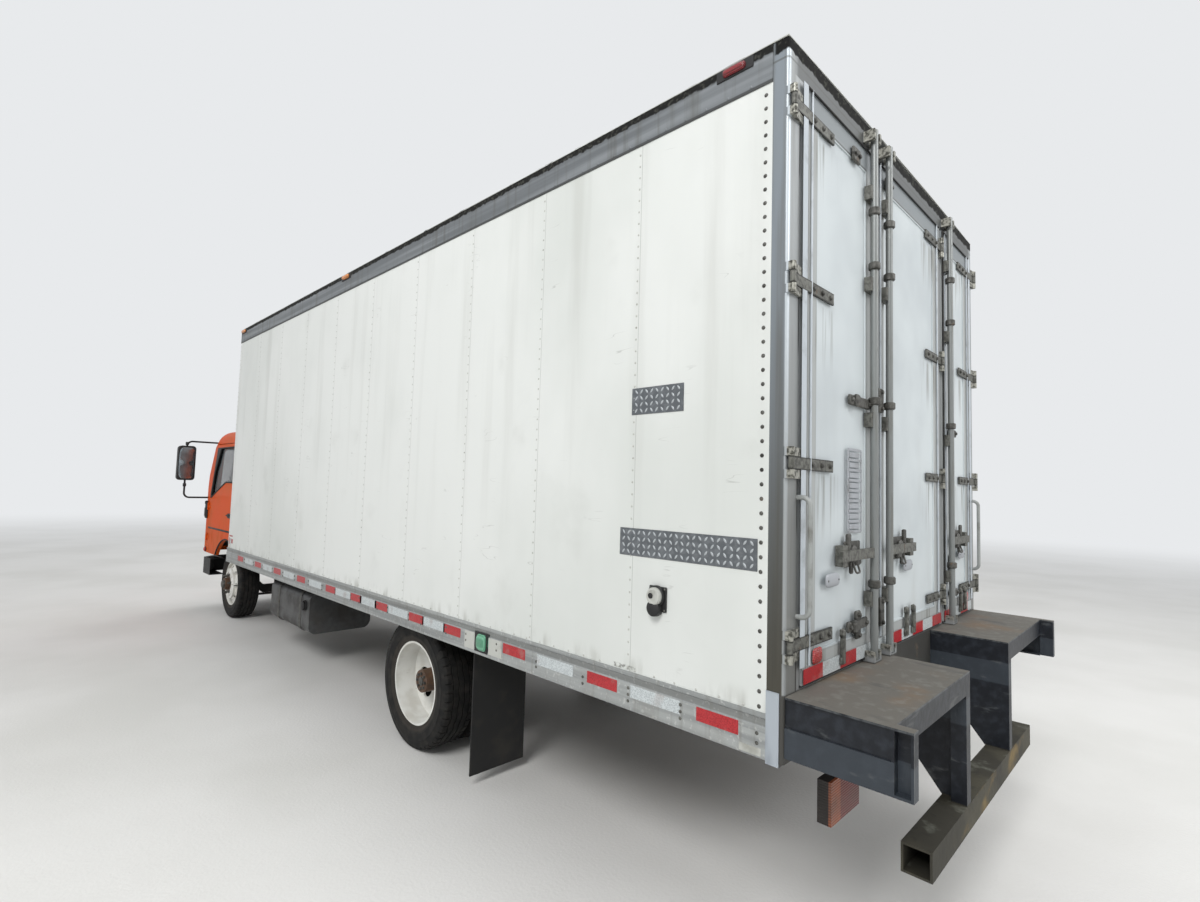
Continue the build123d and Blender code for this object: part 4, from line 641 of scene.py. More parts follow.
def carried(path, section, closed=False, swell=1.0):
    # a flat section (across, up) carried along a path, or round a closed one
    path = np.asarray(path, float)
    if closed:
        along = np.roll(path, -1, 0) - np.roll(path, 1, 0)
        guide = np.cross(path - path.mean(0), along).sum(0)
        guide /= np.linalg.norm(guide)
    else:
        along = np.gradient(path, axis=0)
    along /= np.linalg.norm(along, axis=1)[:, None]
    if not closed:
        guide = np.array([0, 0, 1.0]) if abs(along[:, 2]).max() < 0.9 else np.array([1.0, 0, 0])
        if abs(along @ guide).max() > 0.98:
            guide = np.array([0, 1.0, 0])
    side = np.cross(guide, along)
    side /= np.linalg.norm(side, axis=1)[:, None]
    up = np.cross(along, side)
    swell = np.broadcast_to(np.asarray(swell, float), (len(path),))[:, None, None]
    rings = path[:, None] + swell * (section[:, 0, None] * side[:, None]
                                     + section[:, 1, None] * up[:, None])
    return skinned(rings, "loop" if closed else "shut")


def piped(path, radius, sides=10, flat=1.0, closed=False, swell=1.0):
    # a round or flattened tube
    angle = np.arange(sides) * 2 * math.pi / sides
    return carried(path, radius * np.stack([np.cos(angle) * flat, np.sin(angle)], 1), closed, swell)


def ribbon(path, thick, wide, closed=False):
    # a flat strap: thick across, wide up, its corners cut
    t, w, c = thick / 2, wide / 2, thick / 4
    return carried(path, np.array([(t, -w + c), (t, w - c), (t - c, w), (c - t, w), (-t, w - c),
                                   (-t, c - w), (c - t, -w), (t - c, -w)]), closed)


def rounded(corners, reach=0.03, steps=5, closed=False):
    # runs between corners with each corner eased by a short curve
    corners = np.asarray(corners, float)
    share = np.linspace(0, 1, steps)[:, None]
    if closed:
        turns = zip(np.roll(corners, 1, 0), corners, np.roll(corners, -1, 0))
    else:
        turns = zip(corners[:-2], corners[1:-1], corners[2:])
    path = [] if closed else [corners[:1]]
    for before, corner, after in turns:
        start = corner + (before - corner) / np.linalg.norm(before - corner) * reach
        end = corner + (after - corner) / np.linalg.norm(after - corner) * reach
        path.append((1 - share) ** 2 * start + 2 * share * (1 - share) * corner + share ** 2 * end)
    return np.vstack(path if closed else path + [corners[-1:]])


facingWays = {
    "+x": np.array([[0, 1, 0], [0, 0, 1], [1, 0, 0]], float),
    "-x": np.array([[0, -1, 0], [0, 0, 1], [-1, 0, 0]], float),
    "+y": np.array([[-1, 0, 0], [0, 0, 1], [0, 1, 0]], float),
    "-y": np.array([[1, 0, 0], [0, 0, 1], [0, -1, 0]], float),
    "+z": np.eye(3),
    "-z": np.diag([1.0, -1.0, -1.0]),
}
bothSides = ((1, "left", "+x", "-x"), (-1, "right", "-x", "+x"))  # sign, name, way out, way in


def copied(shape, places, way="+z"):
    # the shape at each place, its own z turned to face that way
    points, faces = shape
    places = np.atleast_2d(np.asarray(places, float))
    spread = places[:, None] + points @ facingWays[way]
    shift = np.arange(len(places))[:, None, None] * len(points)
    return spread.reshape(-1, 3), (faces + shift).reshape(-1, 3)


def block(size, places, way="+z"):  # slabs set at the places
    return copied(slab(*size), places, way)


def lathe(profile, sides, places, way="+z"):  # turned shapes set at the places
    return copied(turned(profile, sides), places, way)


def joined(*shapes):  # several shapes as one
    shift = np.cumsum([0] + [len(points) for points, _ in shapes[:-1]])
    return np.vstack([p for p, _ in shapes]), np.vstack([f + s for (_, f), s in zip(shapes, shift)])


def piece(name, shape, finish, body="chassis", sharp=40):  # shape: one, or a list to be joined
    points, faces = joined(*shape) if isinstance(shape, list) else shape
    mesh = bpy.data.meshes.new(name)
    mesh.from_pydata(points.tolist(), [], faces.tolist())
    work = bmesh.new()
    work.from_mesh(mesh)
    bmesh.ops.remove_doubles(work, verts=work.verts, dist=1e-6)
    bmesh.ops.dissolve_degenerate(work, edges=work.edges, dist=1e-7)
    work.to_mesh(mesh)
    work.free()
    mesh.polygons.foreach_set("use_smooth", [True] * len(mesh.polygons))
    mesh.set_sharp_from_angle(angle=math.radians(sharp))
    mesh.materials.append(finishes[finish])
    made = bpy.data.objects.new(name, mesh)
    bpy.context.scene.collection.objects.link(made)
    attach(made, body)
    return made


# rivets, bolts and tapes on the box
rivets = {"radius": 0.0062, "height": 0.0024, "pitch": 0.0505, "postY": 3.921, "lowZ": 0.934}


def dome(radius, height, sides=8):  # a low head, rounded over
    return turned([(radius, -0.001), (radius, height * 0.25), (radius * 0.75, height * 0.75),
                   (radius * 0.3, height)], sides)


def makeRivets():
    seams = np.arange(10) * -boxSkin["seamPitch"] + boxSkin["seamStart"]
    seams = seams[seams > -2.4]
    rows = np.arange(rivets["lowZ"], 3.12, rivets["pitch"])
    along = np.arange(-2.44, 3.9, 0.1)
    y, z = (a.ravel() for a in np.meshgrid(seams - 0.012, rows))
    frontRow, postRow = np.full(len(rows), -2.455), np.full(len(rows), rivets["postY"])
    footRow, railRow = np.full(len(along), 0.9255), np.full(len(along), 3.162)
    small = dome(rivets["radius"] * 0.8, rivets["height"])
    large = dome(rivets["radius"] * 1.25, rivets["height"] * 1.3)
    for side, word, way, _ in bothSides:
        wall = side * truck["wall"]
        for name, head, x, across, up, finish in (
                ("seam", small, wall, (y, frontRow, along), (z, rows, footRow), "rivet"),
                ("post", large, wall, (postRow,), (rows,), "darkSteel"),
                ("rail", dome(rivets["radius"], rivets["height"]), side * truck["rail"], (along,),
                 (railRow,), "topRail")):
            across, up = np.concatenate(across), np.concatenate(up)
            spots = np.stack([np.full(len(up), x), across, up], 1)
            piece(f"{name}_rivets_{word}", copied(head, spots, way), finish)


finishes["rivet"] = makePlastic("rivet_white", (186, 187, 181), (150, 150, 142), 90, 0.4)
makeRivets()


def makeTape(name, dark, pale):
    f = Finish(name)
    grid = f.cells(190).rise(0.2, 0.7)
    f.start(grid, dark, pale)
    worn = f.cloud(15, 5).rise(0.55, 0.72)
    f.coat(worn * 0.4, (150, 132, 126))
    return f.close(Roughness=0.28 + worn * 0.3, Normal=f.relief(grid, 0.0003))


finishes["redTape"] = makeTape("red_tape", (148, 20, 30), (178, 38, 44))
finishes["silverTape"] = makeTape("silver_tape", (164, 171, 173), (196, 202, 203))
railTape = {"centres": (3.755, 3.178, 2.569, 2.001, 1.603, 1.136, 0.755, 0.306, -0.3, -0.88, -1.42,
                        -1.98), "length": 0.178, "height": 0.05, "z": 0.842}
doorTape = {"z": 1.030, "height": 0.052, "y": 4.0215, "left": (1.094, 0.432, 0),
            "centre": (0.418, -0.494, 1), "right": (-0.561, -1.094, 0), "length": 0.152}


def makeTapes():
    red = np.array(railTape["centres"])
    silver = (red[:-1] + red[1:]) / 2
    for side, word, way, _ in bothSides:
        for name, places, length in (("red", red, railTape["length"]), ("silver", silver, 0.25)):
            strip = slab(length, railTape["height"], 0.0016, 0.0004)
            spots = [(side * 1.2192, y, railTape["z"]) for y in places if abs(y - 2.32) > 0.19]
            piece(f"rail_tape_{name}_{word}", copied(strip, spots, way), name + "Tape")
    for leaf in ("left", "centre", "right"):
        start, end, first = doorTape[leaf]
        edges = np.append(np.arange(start, end + 0.04, -doorTape["length"]), end)
        for k, name in ((0, "red"), (1, "silver")):
            strips = [block((a - b, doorTape["height"], 0.0012, 0.0004),
                            ((a + b) / 2, doorTape["y"], doorTape["z"]), "+y")
                      for n, (a, b) in enumerate(zip(edges[:-1], edges[1:]))
                      if (n + first) % 2 == k]
            piece(f"door_tape_{name}_{leaf}", strips, name + "Tape", f"{leaf}_rear_door")


makeTapes()


# tread plate patches on the left wall
treadPlate = {"patches": ((3.443, 2.030, 0.270, 0.112), (3.5845, 1.4445, 0.649, 0.113)),
              "lug": 0.024, "across": 0.0275, "down": 0.0265, "rows": 4}


def makeTreadPlate():
    f = Finish("tread_plate_steel")
    grit = f.cloud(40, 5).rise(0.4, 0.7)
    raised = f.x.rise(1.2171, 1.2178)
    f.start(grit, (86, 90, 94), (108, 112, 116))
    f.coat(raised, (176, 181, 184))
    return f.close(Roughness=0.45, Metallic=0.35, Normal=f.relief(grit, 0.0006))


finishes["tread"] = makeTreadPlate()


def makeTreadPatches():
    # an eye-shaped lug: its half-width is one minus the square of the way to the tip
    share = np.linspace(-1, 1, 7)[:, None]
    half = 0.0046 * (1 - share ** 2) + 0.0002
    angle = np.linspace(0, 2 * math.pi, 6, endpoint=False)
    for number, (y, z, length, height) in enumerate(treadPlate["patches"]):
        shapes = [block((length, height, 0.002, 0.0006), (1.2162, y, z), "+x")]
        columns = int(length / treadPlate["across"])
        for row in range(treadPlate["rows"]):
            for lean in (1, -1):
                turn = math.radians(52) * lean
                rings = np.stack([share * treadPlate["lug"] / 2 + 0 * angle,
                                  half * np.cos(angle), half * 0.42 * np.sin(angle)], -1)
                a, b = rings[..., 0].copy(), rings[..., 1].copy()
                rings[..., 0] = a * math.cos(turn) - b * math.sin(turn)
                rings[..., 1] = a * math.sin(turn) + b * math.cos(turn)
                use = [k for k in range(columns) if (k + row) % 2 == (lean < 0)]
                spots = [(1.2170, y + (k + 0.5 - columns / 2) * treadPlate["across"], z
                          + (row - (treadPlate["rows"] - 1) / 2) * treadPlate["down"]) for k in use]
                shapes.append(copied(skinned(rings), spots, "+x"))
        piece(f"tread_patch_{number + 1}", shapes, "tread")


makeTreadPatches()


# power inlet, side lamps, roof clearance lamps
inlet = {"y": 3.473, "z": 1.232, "plate": (0.088, 0.098)}


def makeInlet():
    y, z = inlet["y"], inlet["z"]
    body = [block((*inlet["plate"], 0.008, 0.003), (1.2185, y, z), "+x"),
            lathe([(0.041, 0), (0.041, 0.012), (0.037, 0.016), (0.035, 0.012)],
                  28, (1.2215, y - 0.002, z + 0.012), "+x"),
            lathe([(0.031, -0.012), (0.033, 0.0), (0.031, 0.018), (0.02, 0.026), (0.004, 0.028)],
                  24, (1.226, y - 0.006, z - 0.036), "+x"),
            lathe([(0.011, 0), (0.011, 0.0035), (0.007, 0.0045)], 16,
                  (1.2495, y - 0.012, z + 0.014), "+x")]
    piece("inlet_body", body, "blackPlastic")
    cap = turned([(0.0345, 0), (0.0345, 0.012), (0.031, 0.018), (0.024, 0.019), (0.022, 0.0165),
                  (0.004, 0.0165)], 32)
    piece("inlet_cap", copied(cap, (1.2335, y - 0.002, z + 0.012), "+x"), "rivet")
    screws = [(1.2225, y + a * 0.036, z + b * 0.041) for a in (-1, 1) for b in (-1, 1)]
    piece("inlet_screws", copied(dome(0.0042, 0.0022), screws, "+x"), "hardware")


def lampShape(length, height, depth, steps=9):
    # rounded lens: rings of a rounded rectangle drawn in along a quarter circle
    angle = np.arange(24) * 2 * math.pi / 24
    rings = []
    for t in np.linspace(0, 1, steps):
        ease = math.sqrt(max(0.0, 1 - t * t * 0.9))
        c, s = np.cos(angle), np.sin(angle)
        rings.append(np.stack([np.sign(c) * abs(c) ** 0.45 * (length / 2 - 0.012 * (1 - ease)),
                               np.sign(s) * abs(s) ** 0.45 * height / 2 * ease,
                               np.full(24, depth * t)], 1))
    return skinned(rings)


markers = {"z": 3.262, "amber": (0.283, -2.36), "red": (3.79,),
           "front": (-1.0, -0.16, 0, 0.16, 1.0), "frontZ": 3.232}


def makeMarkers():
    def at(x, places):
        return [(x, y, markers["z"]) for y in places]
    def base(length):
        return slab(length + 0.03, 0.046, 0.006, 0.002)
    amber, red = markers["amber"], markers["red"]
    for side, word, way, _ in bothSides:
        low, high = side * 1.2205, side * 1.2225
        piece(f"marker_bases_{word}", copied(base(0.13), at(low, (amber[0], *red, amber[1])), way),
              "blackPlastic")
        piece(f"marker_amber_{word}", copied(lampShape(0.11, 0.034, 0.018), at(high, amber), way),
              "amber")
        piece(f"marker_red_{word}", copied(lampShape(0.098, 0.032, 0.016), at(high, red), way),
              "darkRed")
    for name, shape, y, finish in (
            ("front_marker_bases", base(0.08), -2.4915, "blackPlastic"),
            ("front_markers", lampShape(0.08, 0.03, 0.018), -2.4935, "amber")):
        piece(name, copied(shape, [(x, y, markers["frontZ"]) for x in markers["front"]], "-y"),
              finish)


makeInlet()
makeMarkers()


# roof sealant: a lumpy bead along both sides and over the back
tar = {"height": 0.0125, "z": 3.289}


def makeTar():
    f = Finish("roof_tar")
    lumps = f.cloud(46, 4)
    f.start(lumps.rise(0.48, 0.7), (18, 18, 17), (62, 61, 55))
    return f.close(Roughness=0.9, Specular_IOR_Level=0.15, Normal=f.relief(lumps, 0.004))


finishes["tar"] = makeTar()


def makeRoofTar():
    random = np.random.default_rng(4)
    shapes = []
    for start, end in (((1.2, -2.44), (1.2, 3.99)), ((-1.2, 3.99), (-1.2, -2.44)),
                       ((1.19, 3.985), (-1.19, 3.985))):
        count = int(math.dist(start, end) / 0.03)
        share = np.linspace(0, 1, count)[:, None]
        path = np.hstack([np.array(start) + (np.array(end) - np.array(start)) * share,
                          np.full((count, 1), tar["z"])])
        swell = np.convolve(random.uniform(0.5, 1.15, count + 2), (0.25, 0.5, 0.25), "valid")
        shapes.append(piped(path, tar["height"], 8, 1.5, swell=swell))
    piece("roof_tar", shapes, "tar", sharp=80)


makeRoofTar()


# door hardware: hinge bolts, latch clusters, hold bars, tags, the ladder strip, rod collars
leaves = {
    "left": {"inward": -1, "rod": 0.513, "strapEnd": 0.867, "bars": (0.785,),
             "tag": (0.880, 1.345)},
    "centre": {"inward": 1, "rod": 0.337, "strapEnd": -0.267, "bars": (0.07, -0.025),
               "tag": (0.052, 1.344)},
    "right": {"inward": 1, "rod": -0.607, "strapEnd": -0.867, "bars": (-0.84, -0.93),
              "tag": (-0.86, 1.344)}}


def makeDoorDetails():
    for leaf, facts in leaves.items():
        body, inward, rod = f"{leaf}_rear_door", facts["inward"], facts["rod"]
        ends = facts["strapEnd"]
        bolts = [(ends - inward * d, 4.024, z) for z in hardware["levels"]
                 for d in (0.03, 0.1, 0.17)]
        piece(f"hinge_bolts_{leaf}", lathe([(0.011, -0.001), (0.011, 0.0015), (0.0085, 0.002),
                                            (0.0085, 0.006), (0.005, 0.0085)], 12, bolts, "+y"),
              "darkSteel", body)
        out = -inward
        hub = turned([(0.034, 0), (0.034, 0.006), (0.03, 0.01), (0.016, 0.012), (0.016, 0.017),
                      (0.011, 0.02)], 24)
        plate = slab(0.15, 0.1, 0.007, 0.003)
        hubX = rod + out * 0.178
        shapes = [copied(plate, (hubX, 4.0245, 1.432), "+y"),
                  copied(hub, (hubX, 4.028, 1.432), "+y"),
                  block((0.03, 0.085, 0.014, 0.004), (hubX + out * 0.05, 4.031, 1.470), "+y"),
                  block((0.05, 0.03, 0.02, 0.006), (hubX - out * 0.03, 4.033, 1.402), "+y"),
                  block((0.022, 0.06, 0.012, 0.004), (hubX + out * 0.02, 4.03, 1.385), "+y")]
        loop = rounded([(hubX - 0.02, 4.036, 1.402), (hubX - 0.02, 4.05, 1.36),
                        (hubX + 0.02, 4.05, 1.36), (hubX + 0.02, 4.036, 1.402)], 0.012)
        shapes.append(piped(loop, 0.0042, 8))
        piece(f"latch_{leaf}", shapes, "darkSteel", body)
        x, z = facts["tag"]
        tag = lampShape(0.118, 0.05, 0.006, 4)
        piece(f"latch_tag_{leaf}", copied(tag, (x, 4.0285, z), "+y"), "tag", body)
        screws = [(x - 0.045, 4.0335, z), (x + 0.045, 4.0335, z)]
        piece(f"tag_screws_{leaf}", copied(dome(0.005, 0.0025), screws, "+y"), "darkSteel", body)
        bars = [block((0.024, 0.13, 0.016, 0.004), (b, 4.030, 1.086), "+y") for b in facts["bars"]]
        bars += [block((0.034, 0.03, 0.01, 0.003), (b, 4.027, z), "+y") for b in facts["bars"]
                 for z in (1.034, 1.138)]
        piece(f"hold_bars_{leaf}", bars, "hardware", body)
        collars = [lathe([(0.02, -0.016), (0.024, -0.012), (0.024, 0.012), (0.02, 0.016)], 20,
                         [(rod, 4.046, z) for z in (1.30, 2.06, 2.64, 2.88)])]
        piece(f"rod_collars_{leaf}", collars, "darkSteel", body)


finishes["tag"] = makePlastic("tag_grey", (160, 163, 168), (132, 133, 134), 60, 0.5)
ladder = {"x": (0.595, 0.725), "z": (1.518, 1.845), "rungs": 9}


def makeLadderStrip():
    low, high = ladder["z"]
    left, right = ladder["x"]
    middle, wide = (left + right) / 2, right - left
    shapes = [block((0.012, high - low, 0.0035, 0.001), (x, 4.0225, (low + high) / 2), "+y")
              for x in (left, right)]
    rungs = [(middle, 4.0225, z) for z in np.linspace(low, high, ladder["rungs"])]
    shapes.append(block((wide, 0.011, 0.0035, 0.001), rungs, "+y"))
    cells = [(middle, 4.0215, z) for z in np.linspace(low, high, ladder["rungs"])[:-1] + 0.0204]
    shapes.append(block((wide - 0.03, 0.02, 0.0025, 0.001), cells, "+y"))
    piece("ladder_strip", shapes, "tag", "left_rear_door")


makeDoorDetails()
makeLadderStrip()


# rubber seals at the meeting edges, aluminium trim over the gap at the hinge side
seals = {"low": 1.064, "high": 3.16, "radius": 0.0042, "inset": 0.006, "beadInset": 0.045}


def makeSeals():
    z0, z1 = seals["low"], seals["high"]
    upright = lambda x: piped([(x, truck["leaf"], z0), (x, truck["leaf"], (z0 + z1) / 2),
                               (x, truck["leaf"], z1)], seals["radius"], 8)
    for leaf, (low, high) in leafEdges.items():
        hinge = 1 if leaf == "left" else -1
        meeting, trimmed = (low, high) if hinge > 0 else (high, low)
        stops = (low + seals["inset"], (low + high) / 2, high - seals["inset"])
        across = piped([(x, truck["leaf"], z1 - 0.004) for x in stops], seals["radius"], 8)
        piece(f"leaf_seal_{leaf}", [upright(meeting + hinge * seals["inset"]), across], "rubber",
              f"{leaf}_rear_door")
        strips = [upright(meeting + hinge * seals["beadInset"]),
                  upright(trimmed - hinge * seals["beadInset"])]
        if leaf != "centre":
            strips.append(block((0.036, z1 - z0, 0.0025, 0.001),
                                (trimmed + hinge * 0.010, 4.0225, (z0 + z1) / 2), "+y"))
        piece(f"leaf_trim_{leaf}", strips, "trim", f"{leaf}_rear_door")


makeSeals()
print("box details made")


# rail bolts, plates beside the side lamp, corner tape, reflectors
railBits = {"bolts": ((3.916, 0.845), (3.916, 0.812), (3.593, 0.854), (3.593, 0.829),
                      (3.593, 0.804), (3.329, 0.852), (3.329, 0.826), (3.329, 0.800),
                      (3.062, 0.834), (3.062, 0.806), (2.743, 0.831), (2.743, 0.806)),
            "plates": ((2.18, 0.826, 0.095, 0.09), (2.412, 0.826, 0.115, 0.086),
                       (3.89, 0.784, 0.085, 0.026)), "lamp": (2.289, 0.832)}


def bolt(radius, height, sides=6):  # a six-sided head on its washer
    return turned([(radius * 1.25, -0.001), (radius * 1.25, height * 0.2), (radius, height * 0.22),
                   (radius, height * 0.85), (radius * 0.7, height)], sides)


def makeRailBits():
    reds = np.array(railTape["centres"][2:])
    spots = list(railBits["bolts"]) + [(y + d, z) for y in (reds[:-1] + reds[1:]) / 2
                                       for d in (-0.14, 0.14) for z in (0.818, 0.85)]
    for side, word, way, _ in bothSides:
        piece(f"rail_bolts_{word}",
              copied(dome(0.0068, 0.004), [(side * truck["rail"], y, z) for y, z in spots], way),
              "hardware")
        plates = [block((w, h, 0.002, 0.0006), (side * 1.2196, y, z), way)
                  for y, z, w, h in railBits["plates"]]
        plates.append(copied(dome(0.007, 0.003), (side * 1.2206, 2.449, 0.832), way))
        lampY, lampZ = railBits["lamp"]
        piece(f"side_lamp_body_{word}", block((0.116, 0.104, 0.0035, 0.0012),
                                              (side * 1.2205, lampY, lampZ), way), "blackPlastic")
        piece(f"side_lamp_lens_{word}", copied(lampShape(0.08, 0.088, 0.014),
                                               (side * 1.2222, lampY + 0.006, lampZ), way), "green")
        piece(f"rail_plates_{word}", plates, "rivet")
        for name, places in (
                ("red", ((-2.425, 0.992, 0.022, 0.07), (-2.33, 0.992, 0.05, 0.045),
                         (-2.375, 1.045, 0.12, 0.014))),
                ("silver", ((-2.375, 0.99, 0.05, 0.06),))):
            shapes = [block((w, h, 0.0012, 0.0003), (side * 1.2154, y, z), way)
                      for y, z, w, h in places]
            piece(f"corner_tape_{name}_{word}", shapes, name + "Tape")
    for leaf, x in (("left", 0.988), ("right", -0.99)):
        piece(f"leaf_reflector_{leaf}",
              copied(lampShape(0.076, 0.056, 0.005, 4), (x, truck["leaf"], 1.087), "+y"), "red",
              f"{leaf}_rear_door")


makeRailBits()
print("rail details made")


# keepers and guides beside the lock rods, on the leaf that carries each
keepers = {
    "left": ((0.62, 2.045, 0.21, 0.042), (0.645, 1.15, 0.19, 0.04), (0.645, 1.15, 0.042, 0.11),
             (0.66, 3.075, 0.07, 0.06)),
    "centre": ((0.388, 2.08, 0.05, 0.105), (0.29, 3.085, 0.075, 0.06), (0.39, 1.17, 0.046, 0.12)),
    "right": ((-0.665, 1.285, 0.036, 0.13), (-0.70, 2.03, 0.12, 0.04), (-0.70, 1.14, 0.13, 0.04))}


def makeKeepers():
    for leaf, plates in keepers.items():
        shapes = []
        for number, (x, z, w, h) in enumerate(plates):
            deep = truck["leaf"] + 0.002 * (number % 3)
            shapes.append(block((w, h, 0.014, 0.004), (x, deep + 0.004, z), "+y"))
            far = max(w, h) / 2 - 0.016
            ends = [(x - far, z), (x + far, z)] if w > h else [(x, z - far), (x, z + far)]
            shapes.append(copied(bolt(0.009, 0.009), [(u, deep + 0.0105, v) for u, v in ends],
                                 "+y"))
            if w > 0.15:
                shapes.append(block((0.034, 0.05, 0.02, 0.006), (x + 0.05, deep + 0.014, z), "+y"))
        piece(f"rod_keepers_{leaf}", shapes, "darkSteel", f"{leaf}_rear_door")


makeKeepers()


# tyres with ribs, grooves and cut shoulders
tyre = {
    "side": ((0.086, 0.2535), (0.095, 0.2555), (0.0985, 0.264), (0.0985, 0.272), (0.102, 0.276),
             (0.1075, 0.300), (0.1095, 0.318), (0.1105, 0.336), (0.1115, 0.3385), (0.1115, 0.3425),
             (0.110, 0.345), (0.108, 0.362), (0.1035, 0.379), (0.0995, 0.3875), (0.094, 0.3945),
             (0.088, 0.3965)),
    "grooves": (0.0575, 0.019, -0.019, -0.0575), "depth": 0.009, "pitches": 48, "cut": 0.007}


def tyreShape(centreX, axleY):
    # section points from one bead over the tread to the other, turned about the axle; the grooves
    # weave by a sine of the angle, and the shoulders are cut down once in every pitch
    tread = [(0.074, 0), (0.066, 0)]
    for g in tyre["grooves"]:
        tread += [(g + 0.0045, 0), (g + 0.0034, tyre["depth"]), (g - 0.0034, tyre["depth"]),
                  (g - 0.0045, 0)]
    tread += [(-0.066, 0), (-0.074, 0)]
    across = np.array([w for w, _ in tyre["side"]] + [w for w, _ in tread]
                      + [-w for w, _ in tyre["side"][::-1]])
    out = np.array([r for _, r in tyre["side"]] + [0.3988 - 0.25 * w * w - d for w, d in tread]
                   + [r for _, r in tyre["side"][::-1]])
    steps = (np.arange(tyre["pitches"])[:, None] + np.array([0, 0.33, 0.38, 0.50, 0.55])).ravel()
    angle = -steps * 2 * math.pi / tyre["pitches"]
    within = steps % 1
    slot = ((within > 0.36) & (within < 0.52)).astype(float)
    shoulder = ((abs(across) > 0.065) & (out > 0.385)).astype(float)
    rib = (abs(across) < 0.064).astype(float)
    radius = out[:, None] - tyre["cut"] * shoulder[:, None] * slot
    x = centreX + across[:, None] + 0.0028 * rib[:, None] * np.sin(angle * tyre["pitches"] / 2)
    return skinned(np.stack([x + 0 * angle, axleY + radius * np.cos(angle),
                             truck["hub"] + radius * np.sin(angle)], -1), "loop")


# names of the pieces, node and body, then tyre centres, nut face, hub face and rim face
wheels = {"Front": ("front_tyre_", "tyre_front_", "front_{}_wheel", (0.845,), 0.974, 1.017, 0.93),
          "Rear": ("rear_tyres_", "tyres_rear_", "rear_{}_wheels", (1.026, 0.768), 0.909, 1.071,
                   1.0)}
studs = {"nuts": (6, 0.2, 0.111), "bolts": (8, 0.0, 0.047)}  # count, first turn, circle radius


def makeWheels():
    nut = joined(turned([(0.0185, -0.001),
                         (0.0185, 0.003), (0.0165, 0.003), (0.0165, 0.018), (0.0135, 0.022)], 6),
                 turned([(0.0095, 0.012), (0.0095, 0.033), (0.0075, 0.036)], 10))

    def circle(kind, x, axleY):
        count, first, radius = studs[kind]
        return [(x, axleY + radius * math.cos(a), truck["hub"] + radius * math.sin(a))
                for a in np.arange(count) * (2 * math.pi / count) + first]
    for side, word, way, _ in bothSides:
        for finish, (tyres, node, wheel, centres, face, hub, rimFace) in wheels.items():
            axleY, body, low = truck[finish.lower() + "Axle"], wheel.format(word), finish.lower()
            made = piece(tyres + word, [tyreShape(side * c, axleY) for c in centres],
                         "tyre" + finish, body, sharp=35)
            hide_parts(node + word)
            nuts = copied(nut, circle("nuts", side * face, axleY), way)
            piece(f"wheel_nuts_{low}_{word}", nuts, "darkSteel", body)
            middle = (side * hub, axleY, truck["hub"])
            if finish == "Front":
                cap = lathe([(0.047, -0.002), (0.047, 0.012), (0.043, 0.022), (0.03, 0.027),
                             (0.006, 0.028)], 32, middle, way)
                piece(f"hub_cap_{word}", cap, "darkSteel", body)
            else:
                bolts = copied(bolt(0.0085, 0.01), circle("bolts", side * hub, axleY), way)
                cap = lathe([(0.026, -0.001), (0.026, 0.006), (0.02, 0.008)], 24, middle, way)
                piece(f"hub_bolts_{word}", [bolts, cap], "darkSteel", body)
            stem = [(side * (rimFace + out), axleY + up, truck["hub"])
                    for out, up in ((-0.03, 0.213), (0.01, 0.21), (0.035, 0.2))]
            piece(f"valve_{low}_{word}", piped(stem, 0.0045, 8), "rubber", body)


makeWheels()
print("wheels made")


# things hung on the frame: tank, battery, exhaust, spring and brake fittings, bolts, stays
under = {
    "tank": ((0.4635, 0.2985), (1.0265, 0.6615)), "straps": (-1.38, -0.82),
    "battery": ((-0.8865, -1.9015), (-0.4635, -1.2785)), "latches": (-1.75, -1.43),
    "batteryRibs": (-1.84, -1.66, -1.52, -1.34),
    "muffler": (-0.615, 0.52, 0.1215), "clamps": (-1.01, -0.45),
    "tailPipe": ((-0.615, -1.11, 0.52), (-0.615, -1.205, 0.50), (-0.615, -1.27, 0.33),
                 (-0.615, -1.95, 0.33), (-0.38, -2.25, 0.44), (-0.24, -2.85, 0.52)),
    # axle, x, half length, height of the ties and of the pins
    "springs": ((truck["frontAxle"], 0.3925, 0.59, 0.49, 0.53),
                (truck["rearAxle"], 0.475, 0.64, 0.55, 0.585)),
    "tie": (0.043, 0.066, 0.15), "brakes": ((0.27, 1.545, 0.5), (-0.27, 1.545, 0.5)),
    "frameBolts": np.arange(-2.2, 3.7, 0.37), "boltRows": (0.60, 0.72),
    "flapStays": ((0.86, 0.80), (1.05, 1.11)), "flapScrews": (0.82, 0.91, 1.0, 1.09),
    "lampLead": ((0.69, 3.97, 0.59), (0.66, 3.93, 0.66), (0.56, 3.88, 0.74), (0.50, 3.80, 0.77))}


def rectangle(low, high, reach, at, order):
    # closed rounded rectangle between two corners, in the plane that order picks
    (a0, b0), (a1, b1) = low, high
    flat = rounded([(a0, b0, 0), (a1, b0, 0), (a1, b1, 0), (a0, b1, 0)], reach, 6, True)
    path = np.empty_like(flat)
    path[:, order[0]], path[:, order[1]], path[:, order[2]] = flat[:, 0], flat[:, 1], at
    return path


